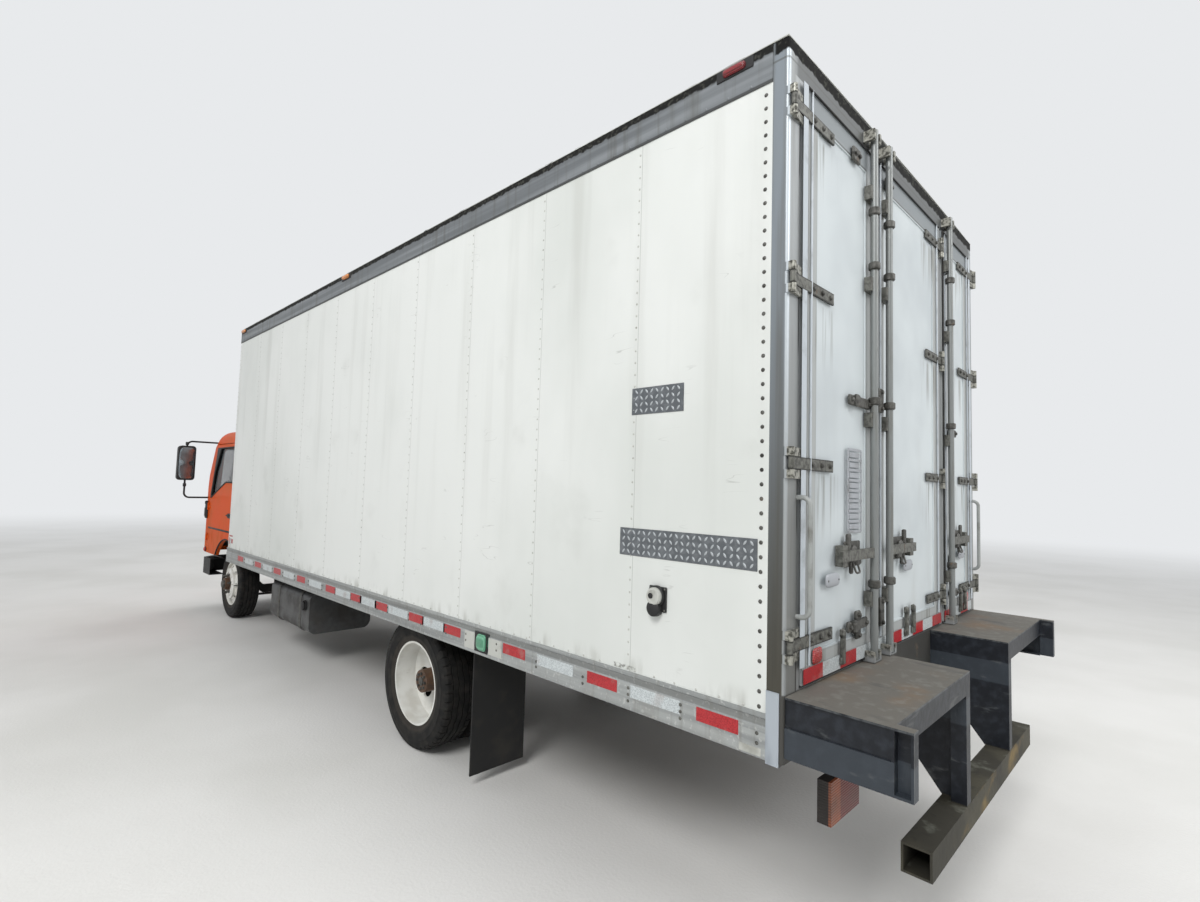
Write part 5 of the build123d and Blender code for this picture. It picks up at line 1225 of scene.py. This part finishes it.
def makeUnderParts():
    straps = [ribbon(rectangle(*under["tank"], 0.07, y, (0, 2, 1)), 0.003, 0.05, True)
              for y in under["straps"]]
    cap = turned([(0.046, -0.002), (0.046, 0.008), (0.041, 0.012), (0.041, 0.026), (0.036, 0.03),
                  (0.008, 0.031)], 36)
    piece("tank_straps", straps, "darkSteel")
    piece("tank_cap", copied(cap, (1.025, -0.70, 0.545), "+x"), "blackPlastic")
    lid = ribbon(rectangle(*under["battery"], 0.022, 0.66, (0, 1, 2)), 0.004, 0.07, True)
    latches = [block((0.04, 0.09, 0.016, 0.004), (-0.8915, y, 0.625), "-x")
               for y in under["latches"]]
    ribs = [block((0.03, 0.2, 0.01, 0.003), (-0.8875, y, 0.49), "-x") for y in under["batteryRibs"]]
    piece("battery_lid", [lid, *latches, *ribs], "blackPlastic")
    x, z, radius = under["muffler"]
    angle = np.arange(40) * 2 * math.pi / 40
    clamps = [ribbon(np.stack([x + radius * np.cos(angle), np.full(40, y),
                               z + radius * np.sin(angle)], 1), 0.003, 0.036, True)
              for y in under["clamps"]]
    piece("muffler_clamps", clamps, "chassis")
    piece("exhaust_pipe", piped(rounded(under["tailPipe"], 0.055, 7), 0.033, 14), "darkSteel")
    ties, pins = [], []
    half, beside, deep = under["tie"]
    for axleY, across, reach, top, pinZ in under["springs"]:
        for side, _, way, _ in bothSides:
            near, far, low = side * across - half, side * across + half, top - deep
            for y in (axleY - beside, axleY + beside):
                bow = rounded([(near, y, low), (near, y, top), (far, y, top), (far, y, low)], 0.02)
                ties.append(piped(bow, 0.0075, 8))
                ties.append(copied(bolt(0.013, 0.014),
                                   [(near, y, low + 0.003), (far, y, low + 0.003)], "-z"))
            for end in (-1, 1):
                spot = (side * (across + 0.036), axleY + end * reach * 0.97, pinZ)
                pins.append(lathe([(0.026, -0.074), (0.026, 0), (0.02, 0.006), (0.02, 0.014),
                                   (0.01, 0.018)], 16, spot, way))
    piece("spring_ties", ties, "darkSteel")
    piece("spring_pins", pins, "chassis")
    heads = [(0.425, y, z) for y in under["frameBolts"] for z in under["boltRows"]]
    mirrored = [(-x, y, z) for x, y, z in heads]
    piece("frame_bolts", [copied(dome(0.011, 0.008), heads, "+x"),
                          copied(dome(0.011, 0.008), mirrored, "-x")], "chassis")
    can = turned([(0.04, 0), (0.072, 0.012), (0.078, 0.03), (0.078, 0.052), (0.083, 0.055),
                  (0.083, 0.067), (0.078, 0.07), (0.078, 0.1), (0.06, 0.118), (0.012, 0.12)], 28)
    piece("brake_chambers", copied(can, under["brakes"], "+y"), "chassis")
    stays = [piped([(side * x0, 2.13, 0.80), (side * (x0 + x1) / 2, 2.15, 0.81),
                    (side * x1, 2.17, 0.825)], 0.006, 8) for side in (1, -1)
             for x0, x1 in under["flapStays"]]
    clips = [block((0.33, 0.03, 0.004, 0.001), (side * 0.955, 2.121, 0.775), "+y")
             for side in (1, -1)]
    screws = [(side * x, 2.123, 0.775) for side in (1, -1) for x in under["flapScrews"]]
    piece("flap_stays", [*stays, *clips, copied(bolt(0.007, 0.006), screws, "+y")], "hardware")
    wires = [piped(rounded([(side * x, y, z) for x, y, z in under["lampLead"]], 0.03), 0.006, 8)
             for side in (1, -1)]
    piece("lamp_leads", wires, "rubber")
    webs = [block((0.05, 0.186, 0.006, 0.001), (side * 1.172, 4.379, 0.886), way)
            for side, _, way, _ in bothSides]
    piece("stop_webs", webs, "dock")


engine = {
    "cylinders": (-3.62, -3.44, -3.26, -3.08),
    "pulleys": ((0.0, 0.54, 0.085), (0.15, 0.76, 0.05), (-0.16, 0.72, 0.06)),
    "manifolds": {  # finish, bends of a port, bore, place and run of the log, its radius
        "intake": ("tank", ((0.27, 0.74), (0.315, 0.76), (0.335, 0.80)), 0.021, (0.34, 0.815),
                   (-3.70, -3.69, -3.35, -3.01, -3.0), 0.036),
        "exhaust_manifold": ("darkSteel", ((-0.27, 0.74), (-0.32, 0.75), (-0.335, 0.70)), 0.02,
                             (-0.335, 0.68), (-3.68, -3.67, -3.35, -3.0, -2.99), 0.034)}}


def makeEngineParts():
    ribs = [block((0.17, 0.03, 0.012, 0.004), (0, y, 0.933), "+z")
            for y in np.arange(-3.72, -2.95, 0.09)]
    cover = block((0.22, 0.84, 0.016, 0.006), (0, -3.345, 0.930), "+z")
    piece("rocker_cover", [cover, *ribs], "tank")
    capped = np.array([0.7, 1, 1, 1, 0.7])
    for name, (finish, bends, bore, (x, z), run, wide) in engine["manifolds"].items():
        log = piped([(x, y, z) for y in run], wide, 16, swell=capped)
        ports = [piped(rounded([(a, y, b) for a, b in bends], 0.02), bore, 12)
                 for y in engine["cylinders"]]
        piece(name, [log, *ports], finish)
    wheel = lambda r, d: turned([(r, 0), (r, d * 0.3), (r * 0.9, d * 0.42), (r * 0.9, d * 0.58),
                                 (r, d * 0.7), (r, d), (r * 0.5, d * 1.05), (r * 0.2, d * 1.3)], 28)
    discs = [copied(wheel(r, 0.03), (x, -3.79, z), "-y") for x, z, r in engine["pulleys"]]
    belt = ribbon(rounded([(-0.085, -3.805, 0.47), (0.085, -3.805, 0.47), (0.2, -3.805, 0.80),
                           (0.10, -3.805, 0.82), (-0.15, -3.805, 0.785), (-0.22, -3.805, 0.72)],
                          0.035, 6, True), 0.006, 0.014, True)
    piece("drive_pulleys", discs, "darkSteel")
    piece("drive_belt", belt, "rubber")


makeUnderParts()
makeEngineParts()
print("underside made")


# cab outside: window rubber, handles, lamps, wipers, trim
cab = {
    "doorWindow": ((-4.065, 1.41), (-3.505, 1.61), (-3.13, 1.61), (-3.13, 2.04), (-3.945, 2.04),
                   (-4.065, 1.71)),
    "arch": 0.524, "markers": (-0.7, -0.17, 0.0, 0.17, 0.7), "face": -4.389,
    "headlamp": ((0.655, 0.782), (0.905, 0.958)), "bowls": ((0.725, 0.058), (0.845, 0.048)),
    "grille": ((-0.625, 0.796), (0.625, 1.014)),
    "windscreen": (0.88, 1.362, 2.048), "backWindow": (0.62, 1.56, 1.96),
    "wipers": (((-0.62, 1.40), (-0.06, 1.415), (-0.30, 1.345)),
               ((0.04, 1.40), (0.60, 1.415), (0.36, 1.345))),
    "pad": (((0.085, 0.215, 0.026, 0.009), 1.037, 1.24), ((0.05, 0.05, 0.03, 0.01), 1.045, 1.335),
            ((0.06, 0.11, 0.012, 0.005), 1.052, 1.215)),
    "turnLamp": (("turn_base", "blackPlastic", ((0.034, -0.001), (0.034, 0.006), (0.03, 0.008))),
                 ("turn_lamp", "red", ((0.027, 0.004), (0.026, 0.014), (0.018, 0.022),
                                       (0.006, 0.025)))),
    "plates": (("front", "cab", 0.1, -4.3895, -4.391, 0.738, 0.765, "-y"),
               ("rear", "chassis", 0.11, 3.9425, 3.944, 0.70, 0.735, "+y"))}


def sideX(z):  # the cab's side, leaning in above the waist
    return np.where(z > 1.45, 1.03 - (z - 1.45) * 0.0866, 1.03)


def frontY(z):  # the leaning windscreen
    return -4.3547 + (z - 1.5) * 0.2083


def makeMirror(name):
    f = Finish(name)
    smear = f.cloud(9, 5)
    f.start(smear.rise(0.4, 0.8), (150, 158, 164), (118, 124, 128))
    return f.close(Roughness=0.06 + smear * 0.12, Metallic=0.9)


finishes["mirror"] = makeMirror("mirror_glass")
finishes["chrome"] = makeMirror("bright_trim")
finishes["belt"] = makeCloth("belt_webbing", (30, 30, 32), (52, 52, 54), 0.003)


def makeCabOutside():
    face = cab["face"]
    for side, word, way, _ in bothSides:
        door = f"{word}_cab_door"
        flat = rounded([(0, y, z) for y, z in cab["doorWindow"]], 0.045, 6, True)
        flat[:, 0] = side * (sideX(flat[:, 2]) + 0.001)
        piece(f"window_rubber_{word}", piped(flat, 0.009, 8, closed=True), "rubber", door)
        for name, body, before, after, gap, count in (("arch_lip", door, -0.424, 0.225, 0.01, 26),
                                                      ("arch_lip_rear", "cab", 0.235, 0.42, 0, 14)):
            angle = np.linspace(math.acos(before / cab["arch"]) + gap,
                                math.acos(after / cab["arch"]), count)
            arc = np.stack([np.full(count, side * 1.031),
                            truck["frontAxle"] + cab["arch"] * np.cos(angle),
                            truck["hub"] + cab["arch"] * np.sin(angle)], 1)
            piece(f"{name}_{word}", piped(arc, 0.0085, 8), "rubber", body)
        grip = rounded([(side * x, y, 1.215) for x, y in ((1.029, -3.29), (1.05, -3.28),
                                                          (1.05, -3.18), (1.029, -3.17))], 0.012)
        piece(f"door_handle_{word}",
              [copied(lampShape(0.16, 0.06, 0.006, 4), (side * 1.0295, -3.23, 1.21), way),
               piped(grip, 0.008, 10),
               lathe([(0.012, 0), (0.012, 0.003), (0.009, 0.004)], 16,
                     (side * 1.034, -3.135, 1.2), way)], "blackPlastic", door)
        waist = [(side * 1.031, y, 1.02) for y in (-4.13, -4.12, -3.6, -3.10, -3.09)]
        piece(f"waist_strip_{word}",
              piped(waist, 0.011, 8, 0.5, swell=np.array([0.5, 1, 1, 1, 0.5])),
              "blackPlastic", door)
        pad = [block(size, (side * x, -4.232, z), way) for size, x, z in cab["pad"]]
        piece(f"corner_pad_{word}", pad, "blackPlastic", "cab")
        for name, finish, profile in cab["turnLamp"]:
            piece(f"{name}_{word}", lathe(profile, 24, (side * 1.0295, -4.19, 0.736), way), finish,
                  "cab")
        glass = copied(lampShape(0.17, 0.415, 0.004, 4), (side * 1.3, -4.1985, 1.84), "+y")
        piece(f"mirror_glass_{word}", glass, "mirror", "cab")
        clamps = [(side * 1.3, -4.24, z) for z in (1.56, 2.09)]
        piece(f"mirror_clamps_{word}", lathe([(0.017, -0.02), (0.019, -0.016), (0.019, 0.016),
                                              (0.017, 0.02)], 14, clamps), "blackPlastic", "cab")
        (x0, z0), (x1, z1) = cab["headlamp"]
        lamp = rectangle((side * x0, z0), (side * x1, z1), 0.02, face, (0, 2, 1))
        piece(f"headlamp_bezel_{word}", piped(lamp, 0.006, 8, closed=True), "chrome", "cab")
        bulbs = [lathe([(r, -0.004), (r, 0.004), (r * 0.9, 0.007), (r * 0.8, 0.003),
                        (r * 0.3, 0.002)], 32, (side * x, face + 0.001, 0.87), "-y")
                 for x, r in cab["bowls"]]
        piece(f"headlamp_bowls_{word}", bulbs, "chrome", "cab")
        piece(f"fog_lamp_{word}", lathe([(0.05, -0.01), (0.05, 0.003), (0.046, 0.007),
                                         (0.01, 0.009)], 28, (side * 0.66, -4.398, 0.53), "-y"),
              "headlamp")
        ribs = [(side * 0.965, -4.06 + d, 0.637) for d in np.arange(-0.08, 0.09, 0.02)]
        piece(f"step_mat_{word}", [block((0.1, 0.2, 0.006, 0.002), (side * 0.965, -4.06, 0.6335)),
                                   block((0.09, 0.008, 0.006, 0.002), ribs)], "rubber")
    for name, (half, low, high), surface, proud in (
            ("windscreen_rubber", cab["windscreen"], frontY, -0.001),
            ("back_rubber", cab["backWindow"], lambda z: 0 * z - 2.6305, 0.001)):
        ring = rectangle((-half, low), (half, high), 0.06, 0.0, (0, 2, 1))
        ring[:, 1] = surface(ring[:, 2]) + proud
        piece(name, piped(ring, 0.012, 8, closed=True), "rubber", "cab")
    for number, (start, end, pivot) in enumerate(cab["wipers"]):
        share = np.linspace(0, 1, 9)[:, None]
        line = np.array(start) + (np.array(end) - np.array(start)) * share
        (x, z), middle = pivot, line[4]
        blade = np.stack([line[:, 0], frontY(line[:, 1]) - 0.004, line[:, 1]], 1)
        arm = np.array([(x, frontY(z) - 0.012, z), (x + 0.02, frontY(1.375) - 0.02, 1.375),
                        (middle[0], frontY(middle[1]) - 0.014, middle[1])])
        hub = lathe([(0.016, 0), (0.016, 0.014), (0.01, 0.018)], 16, (x, frontY(z) + 0.004, z),
                    "-y")
        piece(f"wiper_{number + 1}", [piped(blade, 0.006, 8), piped(arm, 0.005, 8), hub],
              "blackPlastic", "cab")
    lampSpots = [(x, -4.1, 2.164) for x in cab["markers"]]
    piece("cab_marker_bases", block((0.1, 0.05, 0.02, 0.006), lampSpots), "blackPlastic", "cab")
    piece("cab_markers", copied(lampShape(0.085, 0.038, 0.026), lampSpots), "amber", "cab")
    ring = rectangle(*cab["grille"], 0.03, face, (0, 2, 1))
    piece("grille_frame", piped(ring, 0.007, 8, closed=True), "chrome", "cab")
    for name, body, tall, y, screwY, z, screwZ, way in cab["plates"]:
        screws = [(x, screwY, screwZ) for x in (-0.12, 0.12)]
        piece(f"blank_plate_{name}", [block((0.3, tall, 0.003, 0.001), (0, y, z), way),
                                      copied(dome(0.006, 0.003), screws, way)], "rivet", body)
    slotSpots = [(x, -4.3885, 1.1) for x in np.arange(-0.5, 0.51, 0.1)]
    piece("cowl_slots", block((0.075, 0.014, 0.004, 0.0015), slotSpots, "-y"), "blackPlastic",
          "cab")


makeCabOutside()
print("cab outside made")


# cab inside: wheel boss, dials, vents, levers, pedals, mats, door cards, visors, belts
inside = {
    "wheel": (0.48, -3.66, 1.4), "lean": (0, 0.55, 0.83),
    "hood": ((0.30, 1.28), (0.30, 1.36), (0.47, 1.395), (0.66, 1.36), (0.66, 1.28)),
    "dials": ((0.40, 0.04), (0.52, 0.04), (0.605, 0.025)), "vents": (0.8, 0.13, -0.05, -0.8),
    "knobs": (-0.03, 0.04, 0.11), "pedals": (0.36, 0.48, 0.60), "mats": (0.5, -0.5),
    "lever": ((0.16, -3.62, 1.0), (0.16, -3.66, 1.2), (0.17, -3.63, 1.33)),
    "card": (((0.86, 0.46, 0.01, 0.004), (0.984, -3.60, 1.16)),
             ((0.42, 0.06, 0.05, 0.016), (0.965, -3.46, 1.25)),
             ((0.46, 0.13, 0.03, 0.01), (0.968, -3.62, 1.01))),
    "crank": ((0.972, -3.80, 1.22), (0.955, -3.80, 1.22), (0.95, -3.74, 1.14), (0.93, -3.74, 1.14)),
    "belt": ((0.955, -2.98, 1.78), (0.90, -3.02, 1.70), (0.78, -3.18, 1.45), (0.66, -3.24, 1.25),
             (0.60, -3.22, 1.17))}


def leaning(shape, place, axis):
    # the shape with its own z turned to the axis, at the place
    points, faces = shape
    axis = np.asarray(axis, float) / np.linalg.norm(axis)
    across = np.cross((0, 0, 1.0), axis) if abs(axis[2]) < 0.99 else np.array([1.0, 0, 0])
    across /= np.linalg.norm(across)
    return points @ np.stack([across, np.cross(axis, across), axis]) + np.asarray(place), faces


def makeCabInside():
    middle, lean = np.array(inside["wheel"]), np.array(inside["lean"])
    boss = turned([(0.04, -0.03), (0.07, -0.012), (0.078, 0.002), (0.07, 0.016), (0.03, 0.022),
                   (0.005, 0.023)], 32)
    stalks = [piped([middle - lean * 0.06, middle - lean * 0.055 + np.array([d * 0.08, 0, 0]),
                     middle - lean * 0.05 + np.array([d * 0.17, 0.005, 0])], 0.007, 8)
              for d in (1, -1)]
    shroud = leaning(turned([(0.045, -0.2), (0.058, -0.16), (0.058, -0.06), (0.045, -0.04)], 20),
                     middle, lean)
    piece("wheel_boss", [leaning(boss, middle, lean), shroud, *stalks], "blackPlastic", "cab")
    hood = ribbon(rounded([(x, -3.81, z) for x, z in inside["hood"]], 0.05, 6), 0.008, 0.12)
    face = block((0.36, 0.085, 0.012, 0.004), (0.48, -3.842, 1.322), "+y")
    piece("dial_hood", [hood, face], "blackPlastic", "cab")
    rims = [lathe([(r, 0), (r, 0.006), (r - 0.005, 0.008), (r - 0.007, 0.003), (0.004, 0.002)], 32,
                  (x, -3.836, 1.322), "+y") for x, r in inside["dials"]]
    piece("dials", rims, "chrome", "cab")
    vents = [block((0.11, 0.006, 0.012, 0.002),
                   [(x, -3.787, z) for z in np.arange(1.205, 1.262, 0.014)], "+y")
             for x in inside["vents"]]
    panel = [block((0.2, 0.05, 0.012, 0.004), (0.04, -3.771, 1.165), "+y")]
    knobs = lathe([(0.016, 0), (0.016, 0.012), (0.012, 0.016)], 16,
                  [(x, -3.783, 1.118) for x in inside["knobs"]], "+y")
    piece("dash_fittings", [*vents, *panel, knobs], "blackPlastic", "cab")
    box = block((0.42, 0.11, 0.008, 0.004), (-0.52, -3.772, 1.17), "+y")
    piece("glove_lid", box, "dashPlastic", "cab")
    lever = piped(rounded(inside["lever"], 0.05), 0.008, 10)
    knob = lathe([(0.012, -0.02), (0.024, -0.01), (0.027, 0.01), (0.02, 0.026), (0.006, 0.031)], 20,
                 (0.17, -3.63, 1.34))
    boot = lathe([(0.05, 0), (0.048, 0.01), (0.034, 0.03), (0.036, 0.036), (0.02, 0.07),
                  (0.012, 0.09)], 20, (0.16, -3.62, 1.0))
    piece("gear_lever", [lever, knob, boot], "blackPlastic", "cab")
    pedals = []
    for x in inside["pedals"]:
        pedals.append(piped([(x, -4.22, 1.04), (x, -4.16, 0.94), (x, -4.10, 0.90)], 0.008, 8))
        pedals.append(leaning(slab(0.06, 0.075, 0.012, 0.004), (x, -4.093, 0.905), (0, 0.7, 0.7)))
    piece("pedals", pedals, "rubber", "cab")
    mats = [block((0.5, 0.36, 0.008, 0.003), (x, -4.06, 0.844)) for x in inside["mats"]]
    ribs = [block((0.44, 0.008, 0.006, 0.002),
                  [(x, -4.06 + d, 0.849) for d in np.arange(-0.15, 0.16, 0.03)])
            for x in inside["mats"]]
    piece("floor_mats", [*mats, *ribs], "rubber", "cab")
    for side, word, _, way in bothSides:
        card = [block(size, (side * x, y, z), way) for size, (x, y, z) in inside["card"]]
        crank = piped(rounded([(side * x, y, z) for x, y, z in inside["crank"]], 0.012), 0.007, 8)
        piece(f"door_card_{word}", card, "dashPlastic", f"{word}_cab_door")
        piece(f"door_crank_{word}", crank, "blackPlastic", f"{word}_cab_door")
        visor = leaning(slab(0.46, 0.17, 0.02, 0.008), (side * 0.48, -4.08, 2.01), (0, 0.5, 0.86))
        piece(f"visor_{word}", visor, "dashPlastic", "cab")
        strap = np.array([(side * x, y, z) for x, y, z in inside["belt"]])
        share = np.linspace(0, 1, 16)
        fine = np.stack([np.interp(share, np.linspace(0, 1, 5), strap[:, k]) for k in range(3)], 1)
        piece(f"belt_{word}", ribbon(fine, 0.0022, 0.046), "belt", "cab")
        piece(f"belt_anchor_{word}", block((0.05, 0.09, 0.02, 0.006), (side * 0.965, -2.98, 1.79),
                                           way), "blackPlastic", "cab")


makeCabInside()
print("cab inside made")


# seats: pressed-up pads over plastic shells
seats = {"places": ((0.475, 0.51), (-0.565, 0.45), (-0.09, 0.45)), "voxel": 0.006, "cap": 0.024,
         "swell": 4.0, "cushion": (0.40, 0.085, -3.505, 1.102), "back": (0.50, 0.08, -3.218, 1.43),
         "headrest": (0.24, 0.13, 0.06, -3.148, 1.70), "recline": (0, -0.99, 0.141)}


def puffed(made):
    # cloth pressure blown into the shut shape, no point moving further than the cap
    scene = bpy.context.scene
    bpy.context.view_layer.objects.active = made
    remesh = made.modifiers.new("remesh", "REMESH")
    remesh.mode = "VOXEL"
    remesh.voxel_size = seats["voxel"]
    bpy.ops.object.modifier_apply(modifier="remesh")
    start = np.empty(len(made.data.vertices) * 3)
    made.data.vertices.foreach_get("co", start)
    cloth = made.modifiers.new("cloth", "CLOTH")
    cloth.settings.use_pressure = True
    cloth.settings.uniform_pressure_force = seats["swell"]
    cloth.settings.effector_weights.gravity = 0
    for frameNumber in range(1, 21):
        scene.frame_set(frameNumber)
    bpy.ops.object.modifier_apply(modifier="cloth")
    scene.frame_set(1)
    end = np.empty_like(start)
    made.data.vertices.foreach_get("co", end)
    move = (end - start).reshape(-1, 3)
    far = np.linalg.norm(move, axis=1)[:, None]
    end = start.reshape(-1, 3) + move * np.minimum(1, seats["cap"] / np.maximum(far, 1e-9))
    made.data.vertices.foreach_set("co", end.ravel())
    made.data.update()


def padShape(width, depth, height, rows=22, columns=26):
    # a pillow: half-size along each axis eased by powers, its sides drawn in between the corners
    down = np.linspace(-math.pi / 2, math.pi / 2, rows)[1:-1, None]
    turn = np.linspace(0, 2 * math.pi, columns * 2, endpoint=False)
    bent = lambda v, p: np.sign(v) * abs(v) ** p
    ring = bent(np.cos(down), 0.35)
    x = ring * bent(np.cos(turn), 0.35) * width / 2
    y = ring * bent(np.sin(turn), 0.35) * depth / 2
    z = bent(np.sin(down), 0.5) * height / 2 + 0 * turn
    return skinned(np.stack([x, y, z], -1))


def makeSeats():
    count, recline = 0, seats["recline"]
    for x, wide in seats["places"]:
        pads = {"cushion": (wide - 0.06, *seats["cushion"], (0, 0, 1)),
                "back": (wide - 0.06, *seats["back"], recline),
                "headrest": (*seats["headrest"], recline)}
        for name, (w, d, h, y, z, axis) in pads.items():
            count += 1
            made = piece(f"seat_{name}_{count}", leaning(padShape(w, d, h), (x, y, z), axis),
                         "cloth", "cab", sharp=70)
            puffed(made)
            finer = made.modifiers.new("finer", "SUBSURF")
            finer.levels = finer.render_levels = 1
            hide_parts("seats")
        base = [block((wide - 0.02, 0.44, 0.06, 0.012), (x, -3.50, 1.031)),
                leaning(slab(wide - 0.03, 0.66, 0.034, 0.014), (x, -3.153, 1.40), recline)]
        shell = piece(f"seat_shell_{count}", base, "blackPlastic", "cab")
        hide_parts("seats")


makeSeats()
print("seats made")


# load space lining
lining = {"slats": np.arange(-2.16, 3.8, 0.6)}


def makeLining():
    f = Finish("plywood")
    grain = f.cloud(3, 8, (14, 0.5, 10))
    f.start(grain.rise(0.3, 0.7), (168, 132, 92), (196, 164, 122))
    f.coat(f.cloud(5, 5).rise(0.5, 0.75) * 0.5, (112, 92, 72))
    finishes["plywood"] = f.close(Roughness=0.7, Normal=f.relief(grain, 0.0008))
    for side, word, _, way in bothSides:
        piece(f"kick_board_{word}",
              block((6.28, 0.30, 0.006, 0.001), (side * 1.177, 0.74, 1.14), way), "plywood")
        places = [(side * 1.172, y, 2.06) for y in lining["slats"]]
        piece(f"wall_slats_{word}", block((0.05, 2.1, 0.014, 0.003), places, way), "plywood")
        screws = [(side * 1.165, y, z) for y in lining["slats"] for z in np.arange(1.1, 3.1, 0.3)]
        piece(f"slat_screws_{word}", copied(dome(0.005, 0.002), screws, way), "hardware")
    
    piece("roof_closure", block((2.3, 0.034, 0.012, 0.003), (0, -2.445, 3.288), "+y"), "rail")
    places = [(x, -2.443, 2.06) for x in np.arange(-0.9, 0.91, 0.45)]

    piece("front_slats", block((0.05, 2.1, 0.014, 0.003), places, "+y"), "plywood")


makeLining()
print("lining made")


# studio: pale floor and sky, soft lamps
studio = {"floor": (226, 225, 222), "far": (232, 234, 236), "sky": (232, 234, 236),
          "skyLight": 0.72, "lamps": {"key": ((9, 6, 9), (0.5, 0.5, 1.4), 800, 5),
                                      "back": ((-3, 11, 7), (0, 3, 1.5), 400, 6),
                                      "front": ((-8, -8, 7), (0, -2, 1.5), 400, 6)}}


def makeStudio():
    f = Finish("studio_floor")
    radius = (f.x * f.x + f.y * f.y).root()
    shader = f.add("ShaderNodeBsdfPrincipled", None, {
        "Base Color": f.over(f.cloud(0.6, 6).rise(0.35, 0.7), studio["floor"], (216, 215, 211)),
        "Roughness": 0.85, "Normal": f.relief(f.cloud(60, 4), 0.002)})
    haze = f.add("ShaderNodeEmission", None, {"Color": tone(studio["far"]), "Strength": 1.0})
    share = radius.rise(7, 30) * f.add("ShaderNodeLightPath", out="Is Camera Ray")
    blend = f.add("ShaderNodeMixShader", None, {0: share, 1: shader, 2: haze})
    floorFinish = f.finishWith(blend)
    angle = np.linspace(0, 2 * math.pi, 96, endpoint=False)
    rings = [np.stack([r * np.cos(angle), r * np.sin(angle), np.zeros(96)], 1)
             for r in (60.0, 20.0, 6.0)]
    points, faces = skinned(rings, "open")
    count = len(points)
    points = np.vstack([points, [0, 0, 0]])
    inner = np.arange(count - 96, count)
    faces = np.vstack([faces, np.stack([inner, np.roll(inner, -1), np.full(96, count)], -1)])
    mesh = bpy.data.meshes.new("floor")
    mesh.from_pydata(points.tolist(), [], faces.tolist())
    mesh.materials.append(floorFinish)
    floor = bpy.data.objects.new("floor", mesh)
    bpy.context.scene.collection.objects.link(floor)
    sky = Finish("studio", bpy.data.worlds.new("studio"))
    camera, glossy, through = (sky.add("ShaderNodeLightPath", out=f"Is {ray} Ray")
                               for ray in ("Camera", "Glossy", "Transmission"))
    lit, seen = (sky.add("ShaderNodeBackground",
                         None, {"Color": tone(studio["sky"]), "Strength": strength})
                 for strength in (studio["skyLight"], 1.0))
    both = sky.add("ShaderNodeMixShader", None,
                   {0: camera.most(glossy).most(through), 1: lit, 2: seen})
    bpy.context.scene.world = sky.finishWith(both, "World")
    for name, (place, target, power, size) in studio["lamps"].items():
        lamp = bpy.data.lights.new(name, "AREA")
        lamp.energy = power
        lamp.shape = "DISK"
        lamp.size = size
        lampObject = bpy.data.objects.new(name, lamp)
        turn = (Vector(target) - Vector(place)).to_track_quat("-Z", "Y")
        lampObject.matrix_world = Matrix.Translation(place) @ turn.to_matrix().to_4x4()
        bpy.context.scene.collection.objects.link(lampObject)


makeStudio()
